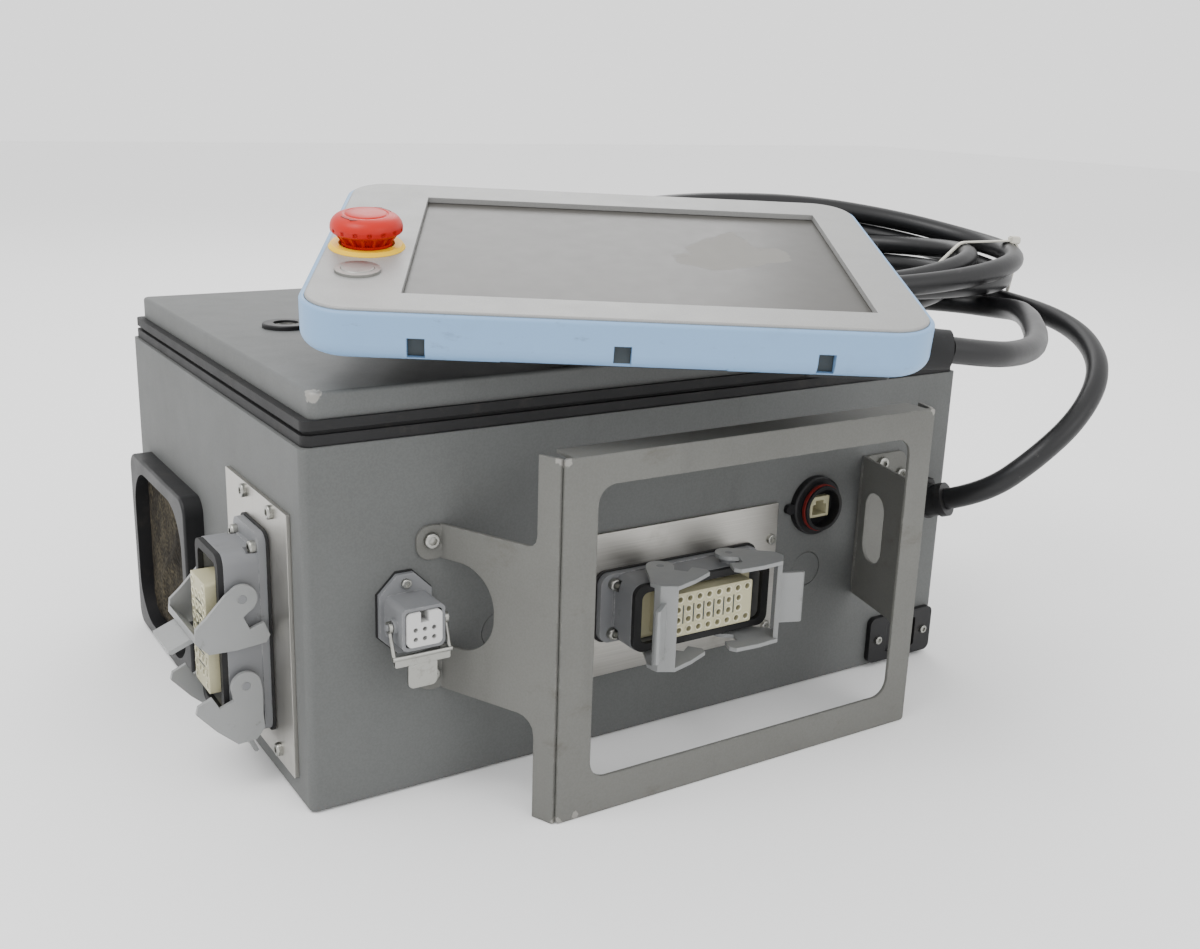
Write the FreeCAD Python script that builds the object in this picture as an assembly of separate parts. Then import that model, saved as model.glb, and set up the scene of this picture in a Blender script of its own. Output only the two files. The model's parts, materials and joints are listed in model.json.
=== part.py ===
"""Control box of a collaborative robot arm, lying on its back, with its teach pendant and cable on top.

Units are millimetres. The origin is the centre of the tub's underside. +X runs to the right along the
connector side, +Y to the back and +Z up, out of the door.
"""
import FreeCAD, Part
import math
import os

V = FreeCAD.Vector

# ---- driving dimensions -------------------------------------------------------------------------
BOX_W = 475.0            # tub width along X
BOX_D = 338.8            # tub depth along Y
TUB_H = 210.0            # floor to tub rim
SHEET = 2.0              # steel sheet of the tub and the stand
SEAL_H = 14.0            # rubber seal between tub rim and door flange
DOOR_H = 14.4            # door pan, flange to outer face
DOOR_GAP_X = 7.0         # door is this much narrower than the tub at each side
DOOR_GAP_Y = 3.0

FRONT = -BOX_D / 2       # connector face
LEFT = -BOX_W / 2        # fan face
DOOR_Z = TUB_H + SEAL_H
TOP = DOOR_Z + DOOR_H

PANEL_T = 2.5            # stainless adapter plates
GASKET_T = 1.5
CON_LEN = 120.0          # heavy-duty housing flange
CON_WID = 44.0
CON_PITCH_X = 103.0      # flange screw pattern
CON_PITCH_Y = 32.0
MOUTH_LEN = 102.0
MOUTH_WID = 43.0
MOUTH_H = 24.0           # flange face to mouth
PIVOT_H = 16.0           # flange underside to lever pivot
PIVOT_HALF = 26.0        # lever pivots either side of the housing's middle
LEVER_HALF = 27.0        # outer faces of the lever arms
LEVER_T = 2.5
PIVOT_R = 2.5
PIVOT_CLEAR = 0.06

FRONT_CON = (3.5, 90.0)      # X, Z of the front connector
SIDE_CON = (-99.6, 90.5)     # Y, Z of the side connector
MAINS = (-181.2, 111.0)      # X, Z of the mains inlet
ETHERNET = (115.0, 130.4)    # X, Z of the network coupler
GLAND = (212.0, 122.5)       # X, Z of the pendant cable gland
PASS_PLATE = (205.0, 20.0)   # X, Z of the blanked cable pass-through
FAN = (82.0, 66.5)           # Y, Z of the fan
FAN_H = 130.0                # fan frame, upright and along Y
FAN_W = 136.0
FAN_DEPTH = 13.0

STAND_OUT = 72.6             # stand's front plate in front of the connector face
STAND_X = (-124.0, 140.0)
STAND_ROOT_X = (-157.5, 158.0)
STAND_WINDOW = (-103.0, 122.0, 21.5, 193.0)

PEND_AT = V(-30.9, -157.6, 301.3)
PEND_TURN = FreeCAD.Rotation(-29.4, 1.0, 10.2)
SCREEN_W = 247.0
SCREEN_H = 185.5
PEND_U = (-175.0, 153.0)
PEND_V = (-121.0, 126.0)
RIM_DEPTH = 26.0
TRAY_DEPTH = 28.0
HUMP_DEPTH = 57.5
ESTOP = (-149.7, -16.0)
POWER = (-149.5, -60.0)

CABLE_D = 15.0
COIL_AT = V(194.8, -22.7, 0.0)
COIL_A = 167.5               # half length of the coil's middle line
COIL_B = 96.0                # half width
COIL_TURN = -29.4            # degrees about Z
COIL_BAND = 22.0             # half width of the ring

TUB_R = 4.0
LIP = 16.0                   # rim of the tub, folded inwards
WALL_PITCH_X = 415.0         # wall fixing holes in the tub's floor
WALL_PITCH_Y = 280.0
WALL_HOLE_R = 4.25
BLANK_R = 12.0
BLANKS = ((112.5, 85.0), (-120.5, 87.0))

LOCK = V(-178.2, 15.2, TOP)
LOCK_R = 12.0
LOCK_CORE_R = 8.0
LOCK_CLEAR = 0.06
HINGE_Y = (-115.0, 115.0)
HINGE_X = BOX_W / 2 + 4.5
HINGE_Z = 217.0
HINGE_PIN_R = 2.5
HINGE_BARREL_R = 5.0
HINGE_L = 44.0

STAND_SCREWS = ((-165.0, 150.5), (-165.0, 70.9), (172.0, 152.0), (190.0, 142.0), (178.0, 70.9))
FRONT_PLATE_SCREWS = ((-69.0, 129.5), (78.0, 112.5), (-69.0, 52.0), (78.0, 52.0))
SIDE_PLATE_SCREWS = ((-83.0, 165.0), (-128.0, 165.0), (-83.0, 22.0), (-128.0, 22.0))
HOLE_R = 1.75                # contact holes
HOLE_DEEP = 9.0

MAINS_OUT = 27.0
BAIL_PIVOT = (0.2, 18.5)     # local Y and Z of the wire bail's pivot
BAIL_WIRE_R = 1.1
GLAND_OUT = 14.0             # straight part of the gland
GLAND_BOOT = 11.0            # length of its bent-up cable boot
GLAND_AIM = V(0.36, -0.86, 0.35)
FAN_BLADES = 7
PLATE_Z = 22.0               # underside of the inner mounting plate

BOOT_V = -62.0
BOOT_N = -29.0
BOOT_L = 34.0
BOOT_R = (12.5, 11.0)
STEM_R = 8.0
STEM_TOP = 16.5
COLLAR_BORE = 15.6

# ---- helpers ------------------------------------------------------------------------------------
def box(x0, x1, y0, y1, z0, z1):
    return Part.makeBox(x1 - x0, y1 - y0, z1 - z0, V(x0, y0, z0))


def rod(at, along, radius, length):
    return Part.makeCylinder(radius, length, at, along)


def hexagon(at, across, height):
    points = [V(at.x + across / math.sqrt(3) * math.cos(math.radians(60 * k)),
                at.y + across / math.sqrt(3) * math.sin(math.radians(60 * k)), at.z) for k in range(7)]
    return Part.Face(Part.makePolygon(points)).extrude(V(0, 0, height))


def rounded_face(x0, x1, y0, y1, r, z=0.0):
    """Rectangle in the XY plane with round corners."""
    k = r * (1 - math.sqrt(0.5))
    edges = [
        Part.LineSegment(V(x0 + r, y0, z), V(x1 - r, y0, z)),
        Part.Arc(V(x1 - r, y0, z), V(x1 - k, y0 + k, z), V(x1, y0 + r, z)),
        Part.LineSegment(V(x1, y0 + r, z), V(x1, y1 - r, z)),
        Part.Arc(V(x1, y1 - r, z), V(x1 - k, y1 - k, z), V(x1 - r, y1, z)),
        Part.LineSegment(V(x1 - r, y1, z), V(x0 + r, y1, z)),
        Part.Arc(V(x0 + r, y1, z), V(x0 + k, y1 - k, z), V(x0, y1 - r, z)),
        Part.LineSegment(V(x0, y1 - r, z), V(x0, y0 + r, z)),
        Part.Arc(V(x0, y0 + r, z), V(x0 + k, y0 + k, z), V(x0 + r, y0, z)),
    ]
    return Part.Face(Part.Wire([e.toShape() for e in edges]))


def slab(x0, x1, y0, y1, z0, z1, r):
    return rounded_face(x0, x1, y0, y1, r, z0).extrude(V(0, 0, z1 - z0))


def centred_slab(w, h, z0, z1, r, cx=0.0, cy=0.0):
    return slab(cx - w / 2, cx + w / 2, cy - h / 2, cy + h / 2, z0, z1, r)


def polygon(points, z0, z1):
    wire = Part.makePolygon([V(x, y, z0) for x, y in points + points[:1]])
    return Part.Face(wire).extrude(V(0, 0, z1 - z0))


def frame_at(at, ax, ay, az):
    """Placement that takes local X, Y, Z to the three given directions."""
    m = FreeCAD.Matrix(ax.x, ay.x, az.x, at.x, ax.y, ay.y, az.y, at.y, ax.z, ay.z, az.z, at.z, 0, 0, 0, 1)
    return FreeCAD.Placement(m)


def moved(shape, place):
    copy = shape.copy()
    copy.Placement = place.multiply(copy.Placement)
    return copy


def on_front(x, z, out=0.0):
    """Local Z points out of the connector face, local X right, local Y up."""
    return frame_at(V(x, FRONT - out, z), V(1, 0, 0), V(0, 0, 1), V(0, -1, 0))


def on_side(y, z, out=0.0):
    """Local Z points out of the fan face, local X up, local Y to the back."""
    return frame_at(V(LEFT - out, y, z), V(0, 0, 1), V(0, 1, 0), V(-1, 0, 0))


def group(shapes):
    return shapes[0] if len(shapes) == 1 else Part.makeCompound(shapes)


def save(name, shape):
    shape = shape.removeSplitter() if len(shape.Solids) == 1 else shape
    for solid in shape.Solids:
        if not solid.isValid() or solid.Volume <= 0:
            raise ValueError(name + " has a bad solid")
    shape.exportStep("parts/" + name + ".step")


def screw(at, head_r, head_h, shank_r, shank_l):
    """Pan-head screw along +Z: the head's underside is at the given point, with a hexagon socket."""
    head = rod(at, V(0, 0, 1), head_r, head_h)
    head = head.makeFillet(head_h * 0.35, [head.Edges[0]])
    head = head.cut(hexagon(V(at.x, at.y, at.z + head_h * 0.45), head_r * 0.95, head_h))
    return head.fuse(rod(V(at.x, at.y, at.z - shank_l), V(0, 0, 1), shank_r, shank_l))


# ---- steel enclosure ----------------------------------------------------------------------------
def upright_edges(shape, corners):
    found = []
    for edge in shape.Edges:
        a, b = edge.Vertexes[0].Point, edge.Vertexes[-1].Point
        if abs(a.x - b.x) < 1e-6 and abs(a.y - b.y) < 1e-6 and corners(a):
            found.append(edge)
    return found


def make_tub():
    w, d = BOX_W / 2, BOX_D / 2
    outer = slab(-w, w, -d, d, 0, TUB_H, TUB_R)
    bottom = [e for e in outer.Edges if abs(e.BoundBox.ZMax) < 1e-6]
    outer = outer.makeFillet(2.5, bottom)
    t = SHEET
    inner = slab(-w + t, w - t, -d + t, d - t, t, TUB_H - t, TUB_R - t)
    mouth = slab(-w + LIP, w - LIP, -d + LIP, d - LIP, TUB_H - 2 * t, TUB_H + 1, 6.0)
    tub = outer.cut(inner).cut(mouth)
    contacts = centred_slab(92, 34, -5, 5, 4)
    holes = [moved(contacts, on_front(*FRONT_CON)), moved(contacts, on_side(*SIDE_CON))]
    holes.append(moved(centred_slab(21, 21, -5, 5, 2), on_front(*MAINS)))
    holes.append(moved(rod(V(0, 0, -5), V(0, 0, 1), 15.5, 10), on_front(*ETHERNET)))
    holes.append(moved(rod(V(0, 0, -5), V(0, 0, 1), 10.2, 10), on_front(*GLAND)))
    holes.append(moved(centred_slab(26, 18, -5, 5, 3), on_front(*PASS_PLATE)))
    holes.append(moved(rod(V(0, 0, -5), V(0, 0, 1), 58.0, 10), on_side(*FAN)))
    for x, z in BLANKS:
        holes.append(moved(rod(V(0, 0, -5), V(0, 0, 1), BLANK_R, 10), on_front(x, z)))
    for x in (-WALL_PITCH_X / 2, WALL_PITCH_X / 2):
        for y in (-WALL_PITCH_Y / 2, WALL_PITCH_Y / 2):
            holes.append(rod(V(x, y, -1), V(0, 0, 1), WALL_HOLE_R, 5))
    for hole in holes:
        tub = tub.cut(hole)
    return tub


def make_blanks():
    """Knock-out discs still in place, a hair below the painted face."""
    discs = []
    for x, z in BLANKS:
        disc = rod(V(0, 0, -SHEET), V(0, 0, 1), BLANK_R - 0.35, SHEET - 0.3)
        discs.append(moved(disc, on_front(x, z)))
    return group(discs)


def make_door_panel():
    w, d = BOX_W / 2 - DOOR_GAP_X, BOX_D / 2 - DOOR_GAP_Y
    pan = slab(-w, w, -d, d, DOOR_Z, TOP, 5.0)
    top = [e for e in pan.Edges if abs(e.BoundBox.ZMin - TOP) < 1e-6]
    pan = pan.makeFillet(2.2, top)
    t = SHEET
    pan = pan.cut(slab(-w + t, w - t, -d + t, d - t, DOOR_Z - 1, TOP - t, 3.5))
    return pan.cut(rod(V(LOCK.x, LOCK.y, TOP - 10), V(0, 0, 1), LOCK_R + 0.05, 20))


def make_door_gasket():
    """Foamed seal ring with two raised ribs round its outside."""
    w, d = BOX_W / 2 - 2.0, BOX_D / 2 - 1.0
    ring = slab(-w, w, -d, d, TUB_H + 0.3, DOOR_Z, 5.0)
    groove = slab(-w - 5, w + 5, -d - 5, d + 5, TUB_H + 6.2, TUB_H + 8.6, 6.0)
    groove = groove.cut(slab(-w + 2.5, w - 2.5, -d + 2.5, d - 2.5, TUB_H, TUB_H + 12, 4.0))
    ring = ring.cut(groove)
    return ring.cut(slab(-w + 17, w - 17, -d + 17, d - 17, TUB_H - 1, DOOR_Z + 1, 6.0))


def make_lock_housing():
    flange = rod(V(LOCK.x, LOCK.y, TOP), V(0, 0, 1), 15.0, 3.0)
    flange = flange.makeFillet(1.2, [e for e in flange.Edges if abs(e.BoundBox.ZMin - TOP - 3) < 1e-6])
    sleeve = rod(V(LOCK.x, LOCK.y, TOP - 22), V(0, 0, 1), LOCK_R, 22)
    nut = hexagon(V(LOCK.x, LOCK.y, TOP - 12), 30.0, 5.0)
    body = flange.fuse(sleeve).fuse(nut)
    return body.cut(rod(V(LOCK.x, LOCK.y, TOP - 30), V(0, 0, 1), LOCK_CORE_R + LOCK_CLEAR, 40))


def make_lock_core():
    """Quarter-turn core with a double-bit key socket, and the cam on its inner end."""
    core = rod(V(LOCK.x, LOCK.y, TOP - 34), V(0, 0, 1), LOCK_CORE_R, 35.5)
    socket = rod(V(LOCK.x, LOCK.y, TOP - 10), V(0, 0, 1), 5.6, 20)
    post = rod(V(LOCK.x, LOCK.y, TOP - 10), V(0, 0, 1), 2.4, 10.2)
    bit = box(LOCK.x - 4.6, LOCK.x + 4.6, LOCK.y - 0.9, LOCK.y + 0.9, TOP - 10, TOP - 0.4)
    core = core.cut(socket.cut(post.fuse(bit)))
    return core


def make_lock_cam():
    cam = slab(LOCK.x - 10, LOCK.x + 10, LOCK.y - 10, LOCK.y + 46, TOP - 38.0, TOP - 34.0, 9.0)
    return cam.fuse(rod(V(LOCK.x, LOCK.y, TOP - 42), V(0, 0, 1), 5.0, 6))


def make_hinge_fixed():
    """Lower halves of the two lift-off hinges, with their pins, on the tub's right wall."""
    parts = []
    for y in HINGE_Y:
        leaf = box(BOX_W / 2, BOX_W / 2 + 2.5, y - HINGE_L / 2, y - 0.5, 178.0, HINGE_Z)
        barrel = rod(V(HINGE_X, y - HINGE_L / 2, HINGE_Z), V(0, 1, 0), HINGE_BARREL_R, HINGE_L / 2 - 0.5)
        trim = box(BOX_W / 2 - 8, BOX_W / 2, y - HINGE_L, y + HINGE_L, 170, 240)
        pin = rod(V(HINGE_X, y - HINGE_L / 2 + 4, HINGE_Z), V(0, 1, 0), HINGE_PIN_R, HINGE_L - 8)
        parts.append(leaf.fuse(barrel).cut(trim).fuse(pin))
    return group(parts)


def make_hinge_moving():
    """Upper halves, screwed under the door's right flange."""
    parts = []
    edge = BOX_W / 2 - DOOR_GAP_X
    for y in HINGE_Y:
        arm = box(edge, HINGE_X + 3.0, y + 0.5, y + HINGE_L / 2, HINGE_Z + 9.0, HINGE_Z + 12.0)
        riser = box(HINGE_X + 0.5, HINGE_X + 3.0, y + 0.5, y + HINGE_L / 2, HINGE_Z, HINGE_Z + 12.0)
        barrel = rod(V(HINGE_X, y + 0.5, HINGE_Z), V(0, 1, 0), HINGE_BARREL_R, HINGE_L / 2 - 0.5)
        hole = rod(V(HINGE_X, y - 1, HINGE_Z), V(0, 1, 0), HINGE_PIN_R + 0.06, HINGE_L / 2)
        trim = box(BOX_W / 2 - 20, BOX_W / 2 + 0.4, y - 1, y + HINGE_L, 170, HINGE_Z + 8.9)
        parts.append(arm.fuse(riser).fuse(barrel).cut(trim).cut(hole))
    return group(parts)


# ---- folded stand -------------------------------------------------------------------------------
def stand_cheek(root, tip, window):
    """Slanted side plate: local X runs from the box to the front plate, local Y up."""
    along = V(tip[0] - root[0], tip[1] - root[1], 0)
    length = along.Length
    along.normalize()
    normal = along.cross(V(0, 0, 1))
    strip = length - 14.0
    low = [(strip - 11 + 11 * math.sin(math.radians(a)), 60.5 - 11 + 11 * math.cos(math.radians(a)))
           for a in (0, 22, 45, 67, 90)]
    high = [(strip - 6 + 6 * math.sin(math.radians(a)), 158.8 + 6 - 6 * math.cos(math.radians(a)))
            for a in (90, 60, 30, 0)]
    edge = [(0, 60.5)] + low + [(strip, 0.0), (length, 0.0), (length, TUB_H), (strip, TUB_H)] + high
    plate = polygon(edge + [(0, 158.8)], 0, SHEET)
    plate = plate.cut(window)
    return moved(plate, frame_at(V(root[0], root[1], 0), along, V(0, 0, 1), normal))


def make_stand():
    y0 = FRONT - STAND_OUT
    x0, x1 = STAND_X
    left_root = (STAND_ROOT_X[0], FRONT - 0.02)
    right_root = (STAND_ROOT_X[1], FRONT - 0.02)
    left_window = slab(-60, 38, 87.6, 139.0, -5, 5, 24.0)
    right_window = slab(10, 34, 90.0, 138.0, -5, 5, 11.0)
    left = stand_cheek(left_root, (x0, y0), left_window)
    right = stand_cheek(right_root, (x1, y0), right_window)
    w0, w1, w2, w3 = STAND_WINDOW
    front = frame_at(V(0, y0, 0), V(1, 0, 0), V(0, 0, 1), V(0, -1, 0))
    plate = slab(x0, x1, 0, TUB_H, 0, SHEET, 2.0).cut(slab(w0, w1, w2, w3, -5, 5, 11.0))
    stand = moved(plate, front)
    flange = box(x0 + 6, x1 - 6, y0 - SHEET, y0 + 17, TUB_H - SHEET, TUB_H)
    stand = stand.fuse(flange).fuse(left).fuse(right)
    tabs = []
    for z0, z1 in ((139.0, 158.8), (60.5, 85.0)):
        tabs.append(slab(STAND_ROOT_X[0] - 16, STAND_ROOT_X[0] + 3, z0, z1, 0, SHEET, 8.0))
    tabs.append(slab(STAND_ROOT_X[1] - 3, STAND_ROOT_X[1] + 37.5, 60.5, 158.8, 0, SHEET, 8.0))
    for tab in tabs:
        stand = stand.fuse(moved(tab, on_front(0, 0)))
    trim = box(-300, 300, FRONT, FRONT + 20, -5, TUB_H + 5)
    stand = stand.cut(trim)
    for x, z in STAND_SCREWS:
        stand = stand.cut(moved(rod(V(0, 0, -5), V(0, 0, 1), 2.75, 12), on_front(x, z)))
    return stand


# ---- heavy-duty connectors ----------------------------------------------------------------------
def con_plate(w, h):
    """Stainless adapter plate with the housing cut-out."""
    plate = slab(-w[0], w[1], -h[0], h[1], 0, PANEL_T, 0.8)
    return plate.cut(centred_slab(92, 34, -5, 5, 4))


def con_gasket():
    out = centred_slab(CON_LEN + 2.4, CON_WID + 2.4, PANEL_T, PANEL_T + GASKET_T, 7.0)
    return out.cut(centred_slab(92, 34, -5, 10, 4))


def con_housing():
    """Die-cast bulkhead housing, open through, with four pivot studs for the levers."""
    z0 = PANEL_T + GASKET_T
    z1 = z0 + MOUTH_H
    flange = centred_slab(CON_LEN, CON_WID, z0, z0 + 4.5, 7.0)
    bead = centred_slab(CON_LEN - 17, CON_WID - 6, z0 + 4.5, z0 + 6.0, 6.0)
    wall = centred_slab(MOUTH_LEN, MOUTH_WID, z0, z1, 7.0)
    body = flange.fuse(bead).fuse(wall)
    body = body.cut(centred_slab(MOUTH_LEN - 9, MOUTH_WID - 8, z0 - 1, z1 + 1, 4.5))
    for x in (-PIVOT_HALF, PIVOT_HALF):
        for s in (-1, 1):
            length = LEVER_HALF - MOUTH_WID / 2 + 2.0
            stud = rod(V(x, s * (MOUTH_WID / 2 - 2.0), z0 + PIVOT_H), V(0, s, 0), PIVOT_R, length)
            seat_l = LEVER_HALF - LEVER_T - 0.3 - MOUTH_WID / 2 + 2.0
            seat = rod(V(x, s * (MOUTH_WID / 2 - 2.0), z0 + PIVOT_H), V(0, s, 0), 6.0, seat_l)
            body = body.fuse(stud).fuse(seat)
    for x in (-CON_PITCH_X / 2, CON_PITCH_X / 2):
        for y in (-CON_PITCH_Y / 2, CON_PITCH_Y / 2):
            body = body.cut(rod(V(x, y, z0 - 1), V(0, 0, 1), 2.3, 7))
            body = body.cut(rod(V(x, y, z0 + 4.5), V(0, 0, 1), 4.0, 6.0))
    return body


def con_mouth_seal():
    z1 = PANEL_T + GASKET_T + MOUTH_H
    outer = centred_slab(MOUTH_LEN - 0.6, MOUTH_WID - 0.6, z1, z1 + 3.2, 7.0)
    return outer.cut(centred_slab(MOUTH_LEN - 11, MOUTH_WID - 10, z1 - 1, z1 + 5, 4.5))


def con_insert():
    """Moulded contact block: four rows of contact holes, the outer rows longer than the inner ones."""
    z0 = PANEL_T + GASKET_T
    zf = z0 + MOUTH_H + 8.5
    base = centred_slab(84.0, 33.4, z0 - 9, z0 + MOUTH_H - 6, 2.5)
    raised = centred_slab(66.0, 27.5, z0 + MOUTH_H - 6, zf, 1.5)
    block = base.fuse(raised)
    for row, count in ((-1.5, 9), (-0.5, 7), (0.5, 7), (1.5, 9)):
        pitch = 58.0 / 8 if count == 9 else 7.6
        for k in range(count):
            x = (k - (count - 1) / 2) * pitch
            block = block.cut(rod(V(x, row * 6.6, zf - HOLE_DEEP), V(0, 0, 1), HOLE_R, HOLE_DEEP + 2))
    return block


def lever_outline():
    """Arm outline about the pivot: X towards the crossbar, Y towards the hook."""
    return [(-2.0, -8.2), (5.0, -8.8), (20.0, -7.0), (28.5, -6.8), (34.2, -1.0), (33.6, 9.5), (22.0, 19.9),
            (8.2, 29.4), (3.8, 27.8), (1.0, 19.4), (5.2, 17.6), (8.9, 16.3), (6.6, 8.2), (-2.0, 8.2)]


def con_lever():
    """U-shaped locking lever: two arms, a crossbar and a thumb tab. Local Z is the pivot axis."""
    arms = []
    for s in (-1, 1):
        z = s * (LEVER_HALF - LEVER_T / 2)
        arm = polygon(lever_outline(), z - LEVER_T / 2, z + LEVER_T / 2)
        arm = arm.fuse(rod(V(0, 0, z - LEVER_T / 2), V(0, 0, 1), 8.5, LEVER_T))
        arms.append(arm)
    bar = polygon([(31.0, -4.5), (34.2, -1.0), (33.6, 9.5), (30.6, 9.2), (31.2, 0.0)],
                  -LEVER_HALF, LEVER_HALF)
    tab = polygon([(32.5, 3.4), (47.0, -1.3), (48.0, -2.8), (47.0, -4.1), (32.5, 0.6)], -16.5, 16.5)
    lever = arms[0].fuse(arms[1]).fuse(bar).fuse(tab)
    return lever.cut(rod(V(0, 0, -40), V(0, 0, 1), PIVOT_R + PIVOT_CLEAR, 80))


def lever_on(place, end, swing):
    """Lever in the housing's frame: end is -1 or +1 along the housing, swing folds it over the mouth."""
    lever = con_lever()
    turn = FreeCAD.Placement(V(0, 0, 0), FreeCAD.Rotation(V(0, 0, 1), swing))
    lever = moved(lever, turn)
    z = PANEL_T + GASKET_T + PIVOT_H
    at = V(end * PIVOT_HALF, 0, z)
    seat = frame_at(at, V(end, 0, 0), V(0, 0, 1), V(0, -end, 0))
    return moved(moved(lever, seat), place)


# ---- small mains connector ----------------------------------------------------------------------
def mains_outline(grow):
    return [(-15.5 - grow, -12.5), (-15.5 - grow, 12.5), (-5.0, 23.0 + grow), (5.0, 23.0 + grow),
            (15.5 + grow, 12.5), (15.5 + grow, -12.5), (5.0, -23.0 - grow), (-5.0, -23.0 - grow)]


def make_mains_gasket():
    plate = polygon(mains_outline(1.0), 0, 1.0)
    return moved(plate.cut(centred_slab(21, 21, -5, 5, 2)), on_front(*MAINS))


def make_mains_housing():
    flange = polygon(mains_outline(0.0), 1.0, 4.0)
    body = centred_slab(25.4, 24.4, 1.0, MAINS_OUT, 3.5)
    shell = flange.fuse(body).cut(centred_slab(21.4, 20.4, 0, MAINS_OUT + 1, 2.0))
    for s in (-1, 1):
        y, z = BAIL_PIVOT
        shell = shell.fuse(rod(V(s * 12.0, y, z), V(s, 0, 0), 4.0, 3.0))
        shell = shell.fuse(rod(V(s * 12.0, y, z), V(s, 0, 0), 1.9, 6.4))
        shell = shell.cut(rod(V(0, s * 17.6, 0), V(0, 0, 1), 1.7, 10))
    return moved(shell, on_front(*MAINS))


def make_mains_insert():
    block = centred_slab(20.6, 19.6, -8, MAINS_OUT + 1.5, 3.0)
    keyway = box(-2.4, 2.4, 4.0, 12.0, MAINS_OUT - 10, MAINS_OUT + 5)
    block = block.cut(keyway)
    for x in (-5.4, 0.0, 5.4):
        for y in (-5.4, 0.0):
            block = block.cut(rod(V(x, y, MAINS_OUT - 10), V(0, 0, 1), 1.3, 20))
    return moved(block, on_front(*MAINS))


def make_mains_bail():
    """Spring-wire bail with a folded latch tab, hanging below the mouth."""
    y, z = BAIL_PIVOT
    half = 16.4
    drop = -16.2
    fore = 6.4
    legs = []
    for s in (-1, 1):
        start = V(s * half, y, z)
        leg = rod(start, V(0, drop, fore), BAIL_WIRE_R, math.hypot(drop, fore))
        eye = rod(V(s * (half - 1.0), y, z), V(s, 0, 0), 3.4, 2.0)
        legs.append(leg.fuse(eye))
    end_y, end_z = y + drop, z + fore
    bar = rod(V(-half - 1.1, end_y, end_z), V(1, 0, 0), BAIL_WIRE_R + 0.4, 2 * half + 2.2)
    fold = slab(-half, half, end_y - 5.0, end_y + 0.6, end_z - 1.4, end_z + 1.0, 1.0)
    tab = slab(-8.6, 8.6, end_y - 19.0, end_y - 3.0, end_z - 0.8, end_z + 0.7, 3.5)
    bail = legs[0].fuse(legs[1]).fuse(bar).fuse(fold).fuse(tab)
    for s in (-1, 1):
        bail = bail.cut(rod(V(s * 10.0, y, z), V(s, 0, 0), 1.96, 12))
    return moved(bail, on_front(*MAINS))


# ---- network coupler, gland and pass-through ----------------------------------------------------
def make_ethernet_coupler():
    flange = rod(V(0, 0, 0), V(0, 0, 1), 20.0, 5.0)
    flange = flange.makeFillet(1.6, [e for e in flange.Edges if abs(e.BoundBox.ZMin - 5) < 1e-6])
    rim = rod(V(0, 0, 5), V(0, 0, 1), 15.2, 6.0)
    lug = slab(-25.5, -17.0, -3.2, 3.2, 0.0, 3.6, 2.8)
    barrel = rod(V(0, 0, -24), V(0, 0, 1), 15.2, 24)
    nut = hexagon(V(0, 0, -9), 36.0, 6.0)
    body = flange.fuse(rim).fuse(lug).fuse(barrel).fuse(nut)
    body = body.cut(rod(V(0, 0, 3), V(0, 0, 1), 13.0, 20))
    body = body.cut(centred_slab(16.4, 14.4, -30, 10, 1.0))
    groove = rod(V(0, 0, 7.0), V(0, 0, 1), 20, 2.4).cut(rod(V(0, 0, 6), V(0, 0, 1), 14.2, 5))
    return moved(body.cut(groove), on_front(*ETHERNET))


def make_ethernet_seal():
    ring = rod(V(0, 0, 7.1), V(0, 0, 1), 15.8, 2.2).cut(rod(V(0, 0, 6), V(0, 0, 1), 14.3, 5))
    return moved(ring, on_front(*ETHERNET))


def make_ethernet_jack():
    body = centred_slab(16.0, 14.0, -22, 6.0, 0.8)
    body = body.cut(centred_slab(11.8, 7.0, -6, 10, 0.4, 0, -1.8))
    body = body.cut(box(-3.4, 3.4, 0, 4.4, -6, 10))
    return moved(body, on_front(*ETHERNET))


def gland_tip():
    return V(GLAND[0], FRONT - GLAND_OUT, GLAND[1]) + V(GLAND_AIM).normalize() * GLAND_BOOT


def make_gland():
    """Cable gland: hexagon body, domed nut and a boot that turns the cable up and to the right."""
    body = hexagon(V(0, 0, 0), 27.0, 6.0)
    body = body.fuse(rod(V(0, 0, 6), V(0, 0, 1), 12.2, GLAND_OUT - 6))
    body = body.fuse(rod(V(0, 0, -12), V(0, 0, 1), 10.0, 12))
    body = moved(body.fuse(hexagon(V(0, 0, -8), 27.0, 6.0)), on_front(*GLAND))
    tip = gland_tip()
    aim = V(GLAND_AIM).normalize()
    body = body.fuse(Part.makeSphere(10.6, tip - aim * GLAND_BOOT))
    body = body.fuse(rod(tip - aim * GLAND_BOOT, aim, 10.6, GLAND_BOOT))
    return body.fuse(rod(tip - aim * 5.0, aim, 11.8, 5.0))


def make_pass_plate():
    """Blanked cable pass-through: a moulded frame round a recess with two divided slots."""
    plate = centred_slab(60.0, 34.0, 0, 4.0, 5.0)
    plate = plate.cut(centred_slab(28.0, 22.0, 1.5, 10, 2.0))
    plug = centred_slab(25.6, 17.6, -6, 1.5, 2.5)
    plate = plate.fuse(plug)
    for s in (-1, 1):
        plate = plate.cut(rod(V(s * 22.0, 0, -2), V(0, 0, 1), 1.8, 12))
    return moved(plate, on_front(*PASS_PLATE))


# ---- fan ----------------------------------------------------------------------------------------
def make_fan_frame():
    frame = centred_slab(FAN_H, FAN_W, 0, FAN_DEPTH, 12.0)
    frame = frame.makeFillet(1.8, [e for e in frame.Edges if abs(e.BoundBox.ZMin - FAN_DEPTH) < 1e-6])
    return moved(frame.cut(centred_slab(FAN_H - 18, FAN_W - 18, -1, 30, 30.0)), on_side(*FAN))


def make_fan_mat():
    mat = centred_slab(FAN_H - 18.6, FAN_W - 18.6, 2.0, 8.0, 29.7)
    return moved(mat, on_side(*FAN))


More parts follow.
